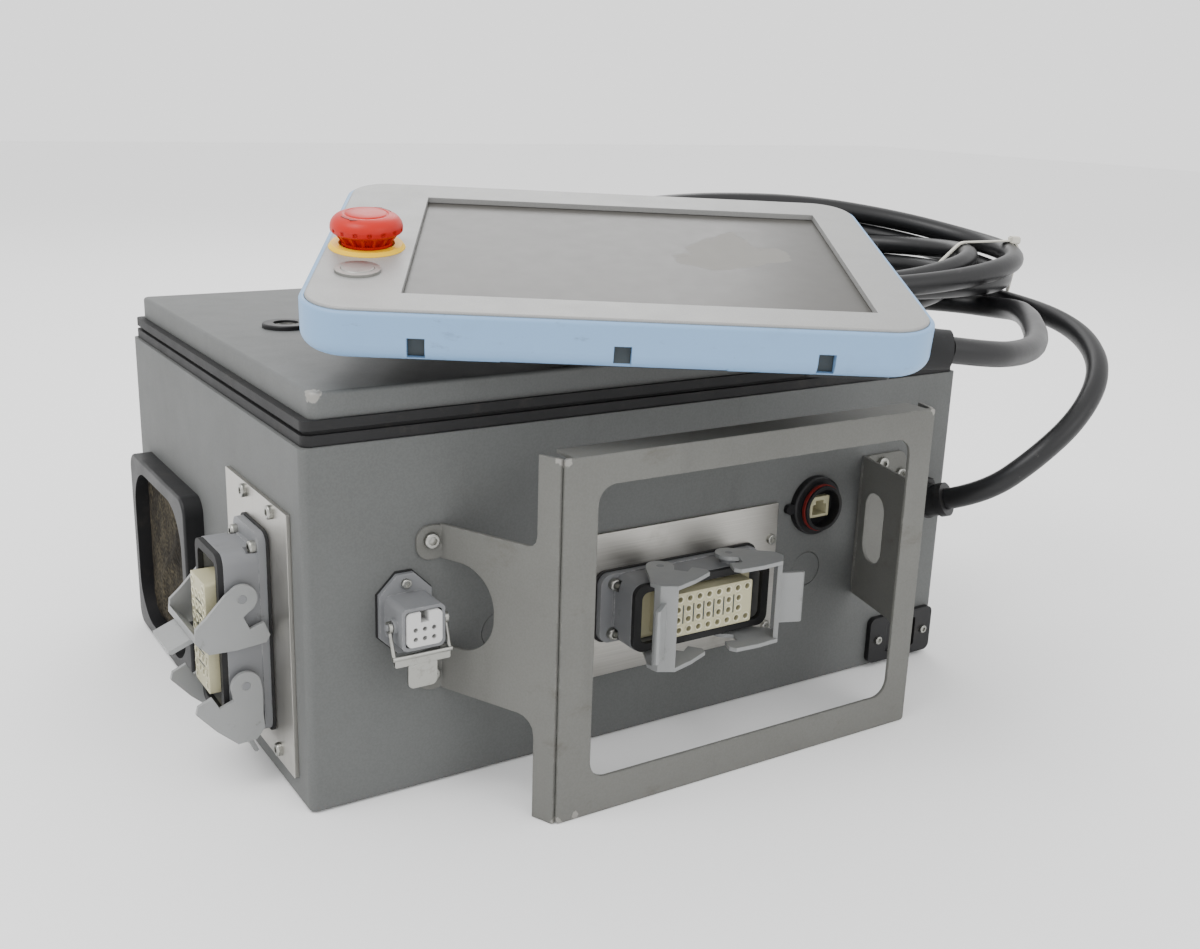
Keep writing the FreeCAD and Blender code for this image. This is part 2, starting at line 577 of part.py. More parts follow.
def make_fan_housing():
    """Square axial-fan frame inside the wall, with the motor on four struts."""
    frame = centred_slab(120, 120, -SHEET - 38, -SHEET - 0.2, 6.0)
    frame = frame.cut(rod(V(0, 0, -60), V(0, 0, 1), 57.0, 80))
    motor = rod(V(0, 0, -SHEET - 38), V(0, 0, 1), 19.0, 7)
    struts = box(-59, 59, -3, 3, -SHEET - 38, -SHEET - 33)
    struts = struts.fuse(box(-3, 3, -59, 59, -SHEET - 38, -SHEET - 33))
    shaft = rod(V(0, 0, -SHEET - 34), V(0, 0, 1), 2.0, 26)
    return moved(frame.fuse(motor).fuse(struts).fuse(shaft), on_side(*FAN))


def make_fan_rotor():
    hub = rod(V(0, 0, -SHEET - 30), V(0, 0, 1), 20.0, 24)
    blade = polygon([(17.0, -10.0), (53.0, -15.0), (54.0, 9.0), (18.0, 5.0)], -1.2, 1.2)
    tilt = FreeCAD.Placement(V(0, 0, -SHEET - 18), FreeCAD.Rotation(V(1, 0, 0), 32))
    rotor = hub
    for k in range(FAN_BLADES):
        turn = FreeCAD.Placement(V(0, 0, 0), FreeCAD.Rotation(V(0, 0, 1), 360.0 / FAN_BLADES * k))
        rotor = rotor.fuse(moved(moved(blade, tilt), turn))
    rotor = rotor.cut(rod(V(0, 0, -SHEET - 31), V(0, 0, 1), 2.06, 24))
    return moved(rotor, on_side(*FAN))


# ---- what the box holds inside ------------------------------------------------------------------
def make_mounting_plate():
    plate = slab(-195, 215, -135, 135, PLATE_Z, PLATE_Z + 2.5, 6.0)
    for x in (-170, 185):
        for y in (-110, 110):
            plate = plate.fuse(rod(V(x, y, SHEET), V(0, 0, 1), 6.0, PLATE_Z - SHEET))
    return plate


def supply(x0, x1, y0, y1, h):
    body = box(x0, x1, y0, y1, PLATE_Z + 2.5, PLATE_Z + 2.5 + h)
    for k in range(9):
        x = x0 + (x1 - x0) * (k + 1) / 10
        body = body.cut(box(x - 2, x + 2, y0 + 14, y1 - 14, PLATE_Z + h - 2, PLATE_Z + h + 10))
    return body


def make_supply_48v():
    return supply(-40, 200, 20, 125, 60)


def make_supply_12v():
    return supply(60, 200, -45, 5, 45)


def board(x0, x1, y0, y1, blocks):
    z = PLATE_Z + 2.5
    pcb = box(x0, x1, y0, y1, z + 8, z + 9.6)
    for x in (x0 + 6, x1 - 6):
        for y in (y0 + 6, y1 - 6):
            pcb = pcb.fuse(rod(V(x, y, z), V(0, 0, 1), 3.0, 8))
    for bx0, bx1, by0, by1, h in blocks:
        pcb = pcb.fuse(box(bx0, bx1, by0, by1, z + 9.6, z + 9.6 + h))
    return pcb


def make_computer_board():
    fins = [(-170 + 8 * k, -167 + 8 * k, 40, 100, 22) for k in range(9)]
    return board(-180, -60, 30, 125, fins + [(-172, -100, 38, 102, 5)])


def make_safety_board():
    rows = [(-150 + 24 * k, -132 + 24 * k, -112, -100, 13) for k in range(7)]
    rows += [(-150 + 24 * k, -132 + 24 * k, -46, -34, 13) for k in range(7)]
    return board(-160, 30, -120, -25, rows)


# ---- teach pendant ------------------------------------------------------------------------------
def pend(shape):
    return moved(shape, FreeCAD.Placement(PEND_AT, PEND_TURN))


def make_pendant_rim():
    """Soft bumper round the pendant's edge, with three notches and a shallow finger recess."""
    u0, u1 = PEND_U
    v0, v1 = PEND_V
    outer = slab(u0, u1, v0, v1, -RIM_DEPTH, 0.0, 27.0)
    low = [e for e in outer.Edges if abs(e.BoundBox.ZMax + RIM_DEPTH) < 1e-6]
    outer = outer.makeFillet(9.0, low)
    high = [e for e in outer.Edges if abs(e.BoundBox.ZMin) < 1e-6]
    outer = outer.makeFillet(1.6, high)
    outer = outer.cut(slab(u0 + 12, u1 - 12, v0 + 12, v1 - 12, -60, 10, 15.0))
    outer = outer.cut(slab(u0 + 2.8, u1 - 2.8, v0 + 2.8, v1 - 2.8, -2.0, 10, 24.2))
    for u in (-114.0, -10.5, 93.5):
        outer = outer.cut(box(u - 4.5, u + 4.5, v0 - 5, v0 + 6.0, -23.5, -12.3))
    outer = outer.cut(moved(rod(V(0, 0, -20), V(0, 0, 1), 13.8, 60), boot_frame(0.0)))
    return pend(outer.cut(box(-72.0, 44.0, v0 - 5, v0 + 8, -40, -RIM_DEPTH + 2.6)))


def make_pendant_bezel():
    u0, u1 = PEND_U
    v0, v1 = PEND_V
    face = slab(u0 + 3.0, u1 - 3.0, v0 + 3.0, v1 - 3.0, -2.0, 1.4, 24.0)
    top = [e for e in face.Edges if abs(e.BoundBox.ZMin - 1.4) < 1e-6]
    face = face.makeFillet(1.0, top)
    face = face.cut(box(-SCREEN_W / 2, SCREEN_W / 2, -SCREEN_H / 2, SCREEN_H / 2, -5, 5))
    face = face.cut(rod(V(ESTOP[0], ESTOP[1], -5), V(0, 0, 1), 17.0, 10))
    return pend(face.cut(rod(V(POWER[0], POWER[1], -5), V(0, 0, 1), 10.2, 10)))


def make_touch_screen():
    glass = box(-SCREEN_W / 2 - 4, SCREEN_W / 2 + 4, -SCREEN_H / 2 - 4, SCREEN_H / 2 + 4, -5.0, -2.2)
    return pend(glass)


def make_lcd_panel():
    return pend(box(-132, 128, -100, 100, -14.0, -5.3))


def make_pendant_board():
    pcb = box(-125, 120, -90, 95, -24.0, -22.4)
    for k in range(4):
        pcb = pcb.fuse(box(-100 + 50 * k, -75 + 50 * k, -30, 20, -22.4, -18.0))
    return pend(pcb)


def hump(grow):
    """Deep middle of the back shell, with sloping sides."""
    low = -HUMP_DEPTH + 2.5 - grow
    small = rounded_face(-137 - grow, 122 + grow, -24 - grow, 87 + grow, 12.0, low)
    large = rounded_face(-157 - grow, 135 + grow, -107 - grow, 107 + grow, 12.0, -TRAY_DEPTH + 3.0)
    return Part.makeLoft([small.OuterWire, large.OuterWire], True, True)


def make_pendant_back():
    """Back shell: a shallow tray, a deep hump behind the electronics and a block round the cable boot."""
    u0, u1 = PEND_U
    v0, v1 = PEND_V
    tray = slab(u0 + 12.2, u1 - 12.2, v0 + 12.2, v1 - 12.2, -TRAY_DEPTH, -2.1, 15.2)
    block = slab(u1 - 60, u1 - 12.2, BOOT_V - 15, BOOT_V + 15, BOOT_N - 13.5, -TRAY_DEPTH + 4, 4.0)
    shell = tray.fuse(hump(0.0)).fuse(block)
    shell = shell.cut(slab(u0 + 15, u1 - 15, v0 + 15, v1 - 15, -TRAY_DEPTH + 2.5, 5, 11.0))
    shell = shell.cut(hump(-2.5))
    return pend(shell.cut(moved(rod(V(0, 0, 0), V(0, 0, 1), 8.2, 30), boot_frame(-6.0))))


def boot_frame(out):
    u = PEND_U[1] - 12.2 + out
    return frame_at(V(u, BOOT_V, BOOT_N), V(0, 1, 0), V(0, 0, 1), V(1, 0, 0))


def make_boot():
    """Strain-relief boot on the pendant's right side."""
    flange = rod(V(0, 0, 0), V(0, 0, 1), 13.5, 3.0)
    cone = Part.makeCone(BOOT_R[0], BOOT_R[1], BOOT_L - 3.0, V(0, 0, 3), V(0, 0, 1))
    stub = rod(V(0, 0, -6), V(0, 0, 1), 8.0, 6)
    return pend(moved(flange.fuse(cone).fuse(stub), boot_frame(0.05)))


def make_estop_collar():
    """Yellow collar with the switch body behind it and a well that the head sinks into."""
    at = V(ESTOP[0], ESTOP[1], 0)
    collar = Part.makeCone(21.5, 20.0, 2.2, at + V(0, 0, 1.4), V(0, 0, 1))
    collar = collar.fuse(rod(at + V(0, 0, -1.8), V(0, 0, 1), 16.8, 4.5))
    collar = collar.fuse(rod(at + V(0, 0, -24.5), V(0, 0, 1), 10.0, 24.5))
    collar = collar.cut(rod(at + V(0, 0, 0.2), V(0, 0, 1), COLLAR_BORE, 10))
    return pend(collar.cut(rod(at + V(0, 0, -22.5), V(0, 0, 1), STEM_R + 0.06, 60)))


def make_estop_stem():
    stem = rod(V(ESTOP[0], ESTOP[1], -18), V(0, 0, 1), STEM_R, 30)
    return pend(stem.fuse(rod(V(ESTOP[0], ESTOP[1], 10), V(0, 0, 1), 5.0, STEM_TOP - 10)))


def make_estop_head():
    """Mushroom head: a flared skirt and a flat dome, turned about the stem to release."""
    profile = [V(0, 0, 21.0), V(11.0, 0, 21.0), V(15.5, 0, 20.0), V(18.6, 0, 17.4), V(20.2, 0, 14.2),
               V(20.2, 0, 11.4), V(18.5, 0, 9.0), V(16.4, 0, 7.0), V(14.6, 0, 5.6), V(14.5, 0, 5.0),
               V(0, 0, 5.0), V(0, 0, 21.0)]
    head = Part.Face(Part.makePolygon(profile)).revolve(V(0, 0, 0), V(0, 0, 1), 360)
    head = moved(head, FreeCAD.Placement(V(ESTOP[0], ESTOP[1], 0), FreeCAD.Rotation()))
    bore = rod(V(ESTOP[0], ESTOP[1], 0), V(0, 0, 1), STEM_R + 0.06, 12.3)
    tip = rod(V(ESTOP[0], ESTOP[1], 0), V(0, 0, 1), 5.06, STEM_TOP + 0.3)
    return pend(head.cut(bore).cut(tip))


def make_power_ring():
    at = V(POWER[0], POWER[1], 1.4)
    ring = rod(at, V(0, 0, 1), 12.4, 1.6)
    ring = ring.fuse(rod(V(POWER[0], POWER[1], -16), V(0, 0, 1), 10.0, 17.5))
    return pend(ring.cut(rod(V(POWER[0], POWER[1], -13), V(0, 0, 1), 9.06, 30)))


def make_power_button():
    cap = rod(V(POWER[0], POWER[1], -10.0), V(0, 0, 1), 9.0, 13.4)
    return pend(cap.makeFillet(0.8, [cap.Edges[0]]))


# ---- pendant cable ------------------------------------------------------------------------------
def pend_point(u, v, n):
    return PEND_AT + PEND_TURN.multVec(V(u, v, n))


def free_route():
    start = gland_tip() + V(GLAND_AIM).normalize() * 0.4
    return [start, V(226.2, -217.2, 136.3), V(249.0, -236.0, 162.0), V(281.0, -242.0, 188.0),
            V(314.0, -230.0, 213.0), V(338.0, -199.0, 229.0), V(350.0, -158.0, 239.0), V(343.0, -122.0, 245.0)]


def lead_route():
    u = PEND_U[1] - 12.2 + BOOT_L
    return [pend_point(u, BOOT_V, BOOT_N), V(120.0, -299.0, 255.0), V(150.0, -292.0, 252.0),
            V(182.0, -277.0, 250.0), V(214.0, -253.0, 250.0), V(243.0, -226.0, 250.0),
            V(269.0, -200.0, 250.0), V(291.0, -172.0, 250.0), V(297.0, -144.0, 250.0)]


def tube(name, points, radius):
    """Straight runs joined by tangent arcs, each as large as its two runs allow."""
    edges = []
    length = 0.0
    at = points[0]
    radii = []
    for k in range(1, len(points) - 1):
        a, b, c = points[k - 1], points[k], points[k + 1]
        into = (b - a).normalize()
        out = (c - b).normalize()
        turn = into.getAngle(out)
        trim = 0.45 * min(a.distanceToPoint(b), b.distanceToPoint(c))
        radii.append(round(trim / math.tan(turn / 2), 1))
        start = b - into * trim
        end = b + out * trim
        bisector = (out - into).normalize()
        sag = radii[-1] * (1 / math.cos(turn / 2) - 1)
        edges.append(Part.LineSegment(at, start).toShape())
        edges.append(Part.Arc(start, b + bisector * sag, end).toShape())
        length += at.distanceToPoint(start) + radii[-1] * turn
        at = end
    edges.append(Part.LineSegment(at, points[-1]).toShape())
    length += at.distanceToPoint(points[-1])
    path = Part.Wire(edges)
    first = (points[1] - points[0]).normalize()
    ring = Part.Wire([Part.Circle(points[0], first, radius).toShape()])
    shape = path.makePipeShell([ring], True, True)
    ideal = math.pi * radius ** 2 * length
    print(name, "radii", radii, "length", round(length, 1), "volume ratio", round(shape.Volume / ideal, 4))
    return shape


def ellipse_face(a, b):
    return Part.Face(Part.Wire([Part.Ellipse(V(0, 0, 0), a, b).toShape()]))


def coil_ring(band, top):
    """Oval ring under a sloping plane: the far side is piled higher than the near side."""
    outer = ellipse_face(COIL_A + band, COIL_B + band).extrude(V(0, 0, 400))
    inner = ellipse_face(COIL_A - band, COIL_B - band).extrude(V(0, 0, 400))
    slope = FreeCAD.Rotation(V(0, 1, 0), 3.8).multiply(FreeCAD.Rotation(V(1, 0, 0), 13.0))
    above = Part.makeBox(1200, 1200, 400, V(-600, -600, 0))
    above = moved(above, FreeCAD.Placement(V(0, 0, top), slope))
    return outer.cut(inner).cut(above)


def make_coil():
    """Outer shape of the stored turns: an oval ring lying on the door."""
    ring = coil_ring(COIL_BAND, 274.0).fuse(coil_ring(COIL_BAND - 6.0, 284.0))
    ring = ring.cut(box(-400, 400, -400, 400, -10, TOP + 0.2))
    return moved(ring, FreeCAD.Placement(COIL_AT, FreeCAD.Rotation(V(0, 0, 1), COIL_TURN)))


def make_tie():
    """Cable tie round the coil near its free end."""
    band = slab(-32, 32, -17, 17, -2.4, 2.4, 10.0)
    band = band.cut(slab(-30.4, 30.4, -15.4, 15.4, -5, 5, 8.4))
    head = box(20, 30, 15, 21, -3.5, 3.5)
    turn = frame_at(V(357.0, -76.0, 258.6), V(0.995, 0.1, 0), V(0, 0, 1), V(0.1, -0.995, 0))
    return moved(band.fuse(head), turn)


# ---- fasteners ----------------------------------------------------------------------------------
def make_panel_screws():
    """M5 pan-head screws that hold the stand and the stainless plates."""
    screws = []
    for x, z in STAND_SCREWS:
        screws.append(moved(screw(V(0, 0, SHEET), 4.6, 3.2, 2.4, SHEET + 4), on_front(x, z)))
    for x, z in FRONT_PLATE_SCREWS:
        screws.append(moved(screw(V(0, 0, PANEL_T), 3.4, 2.2, 1.6, PANEL_T + 4), on_front(x, z)))
    for y, z in SIDE_PLATE_SCREWS:
        screws.append(moved(screw(V(0, 0, PANEL_T), 4.0, 3.0, 1.9, PANEL_T + 4), on_side(y, z)))
    return group(screws)


def make_connector_screws():
    """M4 screws through the connector flanges and the small plates."""
    screws = []
    z = PANEL_T + GASKET_T + 4.5
    for place in (on_front(*FRONT_CON), on_side(*SIDE_CON)):
        for x in (-CON_PITCH_X / 2, CON_PITCH_X / 2):
            for y in (-CON_PITCH_Y / 2, CON_PITCH_Y / 2):
                screws.append(moved(screw(V(x, y, z), 3.8, 4.0, 1.9, z + 3), place))
    for y in (-17.6, 17.6):
        screws.append(moved(screw(V(0, y, 4.0), 2.9, 2.2, 1.4, 9.0), on_front(*MAINS)))
    for x in (-22.0, 22.0):
        screws.append(moved(screw(V(x, 0, 4.0), 2.9, 1.8, 1.4, 9.0), on_front(*PASS_PLATE)))
    return group(screws)


def drill(shape, place, points, radius):
    for x, y in points:
        shape = shape.cut(moved(rod(V(x, y, -20), V(0, 0, 1), radius, 60), place))
    return shape


def drill_all(shape):
    """Screw holes through the tub walls and the stainless plates."""
    origin_front = on_front(0, 0)
    side_points = [(z, y) for y, z in SIDE_PLATE_SCREWS]
    pattern = [(x, y) for x in (-CON_PITCH_X / 2, CON_PITCH_X / 2) for y in (-CON_PITCH_Y / 2, CON_PITCH_Y / 2)]
    shape = drill(shape, origin_front, STAND_SCREWS, 2.5)
    shape = drill(shape, origin_front, FRONT_PLATE_SCREWS, 1.7)
    shape = drill(shape, on_side(0, 0), side_points, 2.0)
    shape = drill(shape, on_front(*FRONT_CON), pattern, 2.0)
    shape = drill(shape, on_side(*SIDE_CON), pattern, 2.0)
    shape = drill(shape, on_front(*MAINS), [(0, -17.6), (0, 17.6)], 1.5)
    return drill(shape, on_front(*PASS_PLATE), [(-22.0, 0), (22.0, 0)], 1.5)


def main():
    os.makedirs("parts", exist_ok=True)
    front = on_front(*FRONT_CON)
    side = on_side(*SIDE_CON)
    save("tub", drill_all(make_tub()))
    save("knockout_blanks", make_blanks())
    save("mounting_plate", make_mounting_plate())
    save("power_supply_48v", make_supply_48v())
    save("power_supply_12v", make_supply_12v())
    save("computer_board", make_computer_board())
    save("safety_board", make_safety_board())
    save("stand_bracket", make_stand())
    save("front_adapter_plate", drill_all(moved(con_plate((76.0, 79.2), (46.0, 46.5)), front)))
    save("side_adapter_plate", drill_all(moved(con_plate((76.2, 79.5), (52.1, 52.1)), side)))
    save("housing_gaskets", drill_all(group([moved(con_gasket(), front), moved(con_gasket(), side)])))
    for name, place in (("front", front), ("side", side)):
        save(name + "_connector_housing", moved(con_housing(), place))
        save(name + "_contact_insert", moved(con_insert(), place))
    save("mouth_seals", group([moved(con_mouth_seal(), front), moved(con_mouth_seal(), side)]))
    save("front_lever_left", lever_on(front, -1, 58.0))
    save("front_lever_right", lever_on(front, 1, 38.0))
    save("side_lever_upper", lever_on(side, 1, 130.0))
    save("side_lever_lower", lever_on(side, -1, -6.0))
    save("mains_gasket", drill_all(make_mains_gasket()))
    save("mains_housing", make_mains_housing())
    save("mains_insert", make_mains_insert())
    save("mains_bail", make_mains_bail())
    save("ethernet_coupler", make_ethernet_coupler())
    save("ethernet_seal_ring", make_ethernet_seal())
    save("ethernet_jack", make_ethernet_jack())
    save("cable_gland", make_gland())
    save("pass_through_plate", make_pass_plate())
    save("fan_filter_frame", make_fan_frame())
    save("fan_filter_mat", make_fan_mat())
    save("fan_housing", make_fan_housing())
    save("fan_rotor", make_fan_rotor())
    save("panel_screws", make_panel_screws())
    save("connector_screws", make_connector_screws())
    save("hinge_lower_halves", make_hinge_fixed())
    save("hinge_upper_halves", make_hinge_moving())
    save("door_panel", make_door_panel())
    save("door_gasket", make_door_gasket())
    save("door_lock_housing", make_lock_housing())
    save("door_lock_core", make_lock_core())
    save("door_lock_cam", make_lock_cam())
    save("pendant_rim", make_pendant_rim())
    save("pendant_bezel", make_pendant_bezel())
    save("pendant_back_shell", make_pendant_back())
    save("touch_screen", make_touch_screen())
    save("lcd_panel", make_lcd_panel())
    save("pendant_board", make_pendant_board())
    save("estop_collar", make_estop_collar())
    save("estop_stem", make_estop_stem())
    save("estop_head", make_estop_head())
    save("power_button_ring", make_power_ring())
    save("power_button", make_power_button())
    save("pendant_cable_boot", make_boot())
    save("cable_free_loop", tube("cable_free_loop", free_route(), CABLE_D / 2))
    save("cable_pendant_lead", tube("cable_pendant_lead", lead_route(), CABLE_D / 2))
    save("cable_coil", make_coil())
    save("cable_tie", make_tie())


main()
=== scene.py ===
"""Looks of the robot arm control box with its teach pendant and cable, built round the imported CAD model."""

import json
import math

import bmesh
import bpy
from mathutils import Matrix, Vector


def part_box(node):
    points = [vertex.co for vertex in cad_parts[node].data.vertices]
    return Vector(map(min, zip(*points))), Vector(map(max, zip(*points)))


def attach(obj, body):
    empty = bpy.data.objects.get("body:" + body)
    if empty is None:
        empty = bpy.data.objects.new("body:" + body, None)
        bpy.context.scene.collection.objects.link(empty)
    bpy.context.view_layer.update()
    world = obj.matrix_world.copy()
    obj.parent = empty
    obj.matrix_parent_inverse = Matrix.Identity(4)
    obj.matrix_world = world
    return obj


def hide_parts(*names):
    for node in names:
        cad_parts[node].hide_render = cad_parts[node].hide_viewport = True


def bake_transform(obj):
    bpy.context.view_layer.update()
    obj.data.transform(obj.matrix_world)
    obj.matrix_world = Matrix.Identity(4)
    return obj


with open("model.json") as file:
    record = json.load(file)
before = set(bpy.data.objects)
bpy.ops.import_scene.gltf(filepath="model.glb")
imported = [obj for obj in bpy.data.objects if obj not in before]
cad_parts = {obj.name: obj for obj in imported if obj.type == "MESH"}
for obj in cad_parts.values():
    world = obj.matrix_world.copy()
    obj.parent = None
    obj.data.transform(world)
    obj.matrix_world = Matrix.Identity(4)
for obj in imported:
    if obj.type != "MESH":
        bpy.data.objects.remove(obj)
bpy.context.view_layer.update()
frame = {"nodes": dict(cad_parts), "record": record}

MM = 0.001


def V(x, y, z):
    """A point given in millimetres."""
    return Vector((x, y, z)) * MM


# ---- pendant's own frame: u to the right, v to the back, n out of the screen ---------------------
PEND_AT = V(-30.9, -157.6, 301.3)
PEND_TURN = (Matrix.Rotation(math.radians(-29.4), 3, "Z") @ Matrix.Rotation(math.radians(1.0), 3, "Y")
             @ Matrix.Rotation(math.radians(10.2), 3, "X"))


def pend_point(u, v, n):
    """A point of the pendant's own frame, given in millimetres."""
    return PEND_AT + PEND_TURN @ V(u, v, n)


def pend_matrix(u=0.0, v=0.0, n=0.0):
    """Takes a mesh made about the origin to a place on the pendant."""
    return Matrix.Translation(pend_point(u, v, n)) @ PEND_TURN.to_4x4()


# ---- material kit --------------------------------------------------------------------------------
TONE = 0.53   # holds the colours down under the bright white surroundings


def srgb(r, g, b, tone=TONE):
    """A linear colour from 0 to 255 values, multiplied by the tone."""
    def lin(c):
        c /= 255
        return c / 12.92 if c <= 0.04045 else ((c + 0.055) / 1.055) ** 2.4
    return (lin(r) * tone, lin(g) * tone, lin(b) * tone, 1.0)


class Shader:
    """Small helper that adds and links nodes of one material. Lengths are in metres."""

    def __init__(self, name, rough=0.5, metal=0.0, coat=0.0, specular=0.32):
        self.mat = bpy.data.materials.new(name)
        self.mat.use_nodes = True
        self.tree = self.mat.node_tree
        self.bsdf = self.tree.nodes["Principled BSDF"]
        self.bsdf.inputs["Roughness"].default_value = rough
        self.bsdf.inputs["Metallic"].default_value = metal
        self.bsdf.inputs["Coat Weight"].default_value = coat
        self.bsdf.inputs["Specular IOR Level"].default_value = specular
        self.coord = self.tree.nodes.new("ShaderNodeTexCoord").outputs["Object"]

    def feed(self, socket, value):
        """Links another node's output to the socket, or sets a plain value on it."""
        if isinstance(value, bpy.types.NodeSocket):
            self.tree.links.new(value, socket)
        else:
            socket.default_value = value

    def node(self, kind, **inputs):
        n = self.tree.nodes.new(kind)
        for key, value in inputs.items():
            self.feed(n.inputs[key], value)
        return n

    def mapped(self, scale, place=(0, 0, 0)):
        """The object's coordinates, stretched and shifted."""
        n = self.node("ShaderNodeMapping", Vector=self.coord)
        n.inputs["Scale"].default_value = scale
        n.inputs["Location"].default_value = place
        return n.outputs["Vector"]

    def noise(self, scale, detail=3.0, rough=0.55, vector=None):
        n = self.node("ShaderNodeTexNoise", Vector=vector or self.coord, Scale=scale, Detail=detail,
                      Roughness=rough)
        return n.outputs["Fac"]

    def ramp(self, fac, lo, hi):
        """A smooth step from 0 at lo to 1 at hi."""
        n = self.node("ShaderNodeMapRange", Value=fac)
        n.inputs["From Min"].default_value = lo
        n.inputs["From Max"].default_value = hi
        n.interpolation_type = "SMOOTHSTEP"
        return n.outputs["Result"]

    def span(self, fac, lo, hi):
        """Takes 0 to 1 onto lo to hi."""
        n = self.node("ShaderNodeMapRange", Value=fac)
        n.inputs["To Min"].default_value = lo
        n.inputs["To Max"].default_value = hi
        return n.outputs["Result"]

    def math(self, op, a, b=0.0):
        n = self.tree.nodes.new("ShaderNodeMath")
        n.operation = op
        self.feed(n.inputs[0], a)
        self.feed(n.inputs[1], b)
        return n.outputs[0]

    def mix(self, fac, a, b):
        n = self.tree.nodes.new("ShaderNodeMix")
        n.data_type = "RGBA"
        for name, value in (("Factor", fac), ("A", a), ("B", b)):
            self.feed(n.inputs[name], value)
        return n.outputs["Result"]

    def near(self, point, radius):
        """1 at a point of the object, falling to 0 at the radius."""
        d = self.tree.nodes.new("ShaderNodeVectorMath")
        d.operation = "DISTANCE"
        self.tree.links.new(self.coord, d.inputs[0])
        d.inputs[1].default_value = point
        return self.ramp(d.outputs["Value"], radius, 0.0)

    def edge(self, size):
        """1 on convex edges of the mesh."""
        bevel = self.tree.nodes.new("ShaderNodeBevel")
        bevel.inputs["Radius"].default_value = size
        geo = self.tree.nodes.new("ShaderNodeNewGeometry")
        dot = self.tree.nodes.new("ShaderNodeVectorMath")
        dot.operation = "DOT_PRODUCT"
        self.tree.links.new(bevel.outputs["Normal"], dot.inputs[0])
        self.tree.links.new(geo.outputs["Normal"], dot.inputs[1])
        return self.ramp(dot.outputs["Value"], 0.98, 0.85)

    def color(self, value):
        self.feed(self.bsdf.inputs["Base Color"], value)

    def rough(self, value):
        self.feed(self.bsdf.inputs["Roughness"], value)

    def metal(self, value):
        self.feed(self.bsdf.inputs["Metallic"], value)

    def bump(self, height, depth, bevel=0.0):
        """Bumps of a depth, on edges that look rounded to the bevel's radius."""
        n = self.node("ShaderNodeBump", Height=height, Distance=depth)
        n.inputs["Strength"].default_value = 1.0
        if bevel:
            b = self.tree.nodes.new("ShaderNodeBevel")
            b.inputs["Radius"].default_value = bevel
            self.tree.links.new(b.outputs["Normal"], n.inputs["Normal"])
        self.tree.links.new(n.outputs["Normal"], self.bsdf.inputs["Normal"])


# ---- materials -----------------------------------------------------------------------------------
STEEL = srgb(196, 194, 188)


def paint(name, tone, dark, chips=(), edge_wear=0.25, soil=0.12):
    """Fine-textured powder coat with faint grime, and bare metal at worn edges and chips."""
    m = Shader(name, rough=0.55, specular=0.2)
    blotch = m.ramp(m.noise(9.0, 4.0, 0.6), 0.38, 0.72)
    streak = m.ramp(m.noise(1.0, 5.0, 0.6, m.mapped((34.0, 34.0, 5.0))), 0.56, 0.8)
    fine = m.noise(900.0, 2.0)
    smudge = m.ramp(m.noise(1.0, 6.0, 0.72, m.mapped((16.0, 16.0, 30.0), (3.1, 1.7, 0.4))), 0.56, 0.76)
    grime = m.math("ADD", m.math("MULTIPLY", blotch, 0.35), m.math("MULTIPLY", streak, 0.4))
    col = m.mix(m.math("MULTIPLY", grime, 0.6), tone, dark)
    col = m.mix(m.math("MULTIPLY", m.ramp(fine, 0.35, 0.65), 0.08), col, srgb(176, 178, 176))
    col = m.mix(m.math("MULTIPLY", smudge, soil), col, srgb(98, 90, 72))
    worn = m.math("MULTIPLY", m.edge(0.0011), m.ramp(m.noise(140.0, 3.0, 0.7), 0.5, 0.66))
    worn = m.math("MULTIPLY", worn, edge_wear)
    for point, radius in chips:
        spot = m.math("MULTIPLY", m.near(point, radius), 0.62)
        spot = m.ramp(m.math("ADD", spot, m.math("MULTIPLY", m.noise(420.0, 3.0, 0.6), 0.5)), 0.62, 0.68)
        worn = m.math("MAXIMUM", worn, spot)
    m.color(m.mix(worn, col, STEEL))
    m.metal(m.math("MULTIPLY", worn, 0.7))
    m.rough(m.span(m.noise(60.0, 3.0), 0.5, 0.64))
    m.bump(m.math("SUBTRACT", m.noise(700.0, 2.0), m.math("MULTIPLY", worn, 1.5)), 0.00008, 0.0011)
    return m.mat


def brushed(name, tone, direction, rough=0.3):
    """Brushed stainless sheet: streaks drawn out along X, Y or Z, as 0, 1 or 2."""
    m = Shader(name, rough=rough, metal=1.0)
    scale = [1600.0, 1600.0, 1600.0]
    scale[direction] = 14.0
    lines = m.noise(1.0, 3.0, 0.6, m.mapped(scale))
    cloud = m.noise(22.0, 3.0)
    smudge = m.ramp(m.noise(46.0, 4.0, 0.65), 0.55, 0.8)
    col = m.mix(m.span(lines, 0.0, 1.0), tone, srgb(228, 226, 220, 0.75))
    m.color(m.mix(m.math("MULTIPLY", smudge, 0.3), col, srgb(150, 140, 124)))
    m.rough(m.math("ADD", m.span(lines, rough - 0.08, rough + 0.12), m.math("MULTIPLY", cloud, 0.12)))
    m.bump(lines, 0.00003, 0.0006)
    return m.mat


def cast(name, tone, rough=0.5, metal=0.2, wear=0.6):
    """Coated die casting: slightly pitted, with bright rubbed edges and dark marks."""
    m = Shader(name, rough=rough, metal=metal)
    mark = m.ramp(m.noise(70.0, 5.0, 0.7), 0.62, 0.74)
    edge = m.math("MULTIPLY", m.edge(0.0007), m.ramp(m.noise(260.0, 3.0), 0.42, 0.6))
    col = m.mix(m.math("MULTIPLY", m.noise(24.0, 3.0), 0.4), tone, srgb(150, 150, 148))
    col = m.mix(m.math("MULTIPLY", mark, 0.35), col, srgb(96, 94, 90))
    m.color(m.mix(m.math("MULTIPLY", edge, wear), col, srgb(226, 226, 222)))
    m.rough(m.span(m.noise(120.0, 2.0), rough - 0.1, rough + 0.1))
    m.bump(m.noise(900.0, 2.0), 0.00005, 0.0006)
    return m.mat


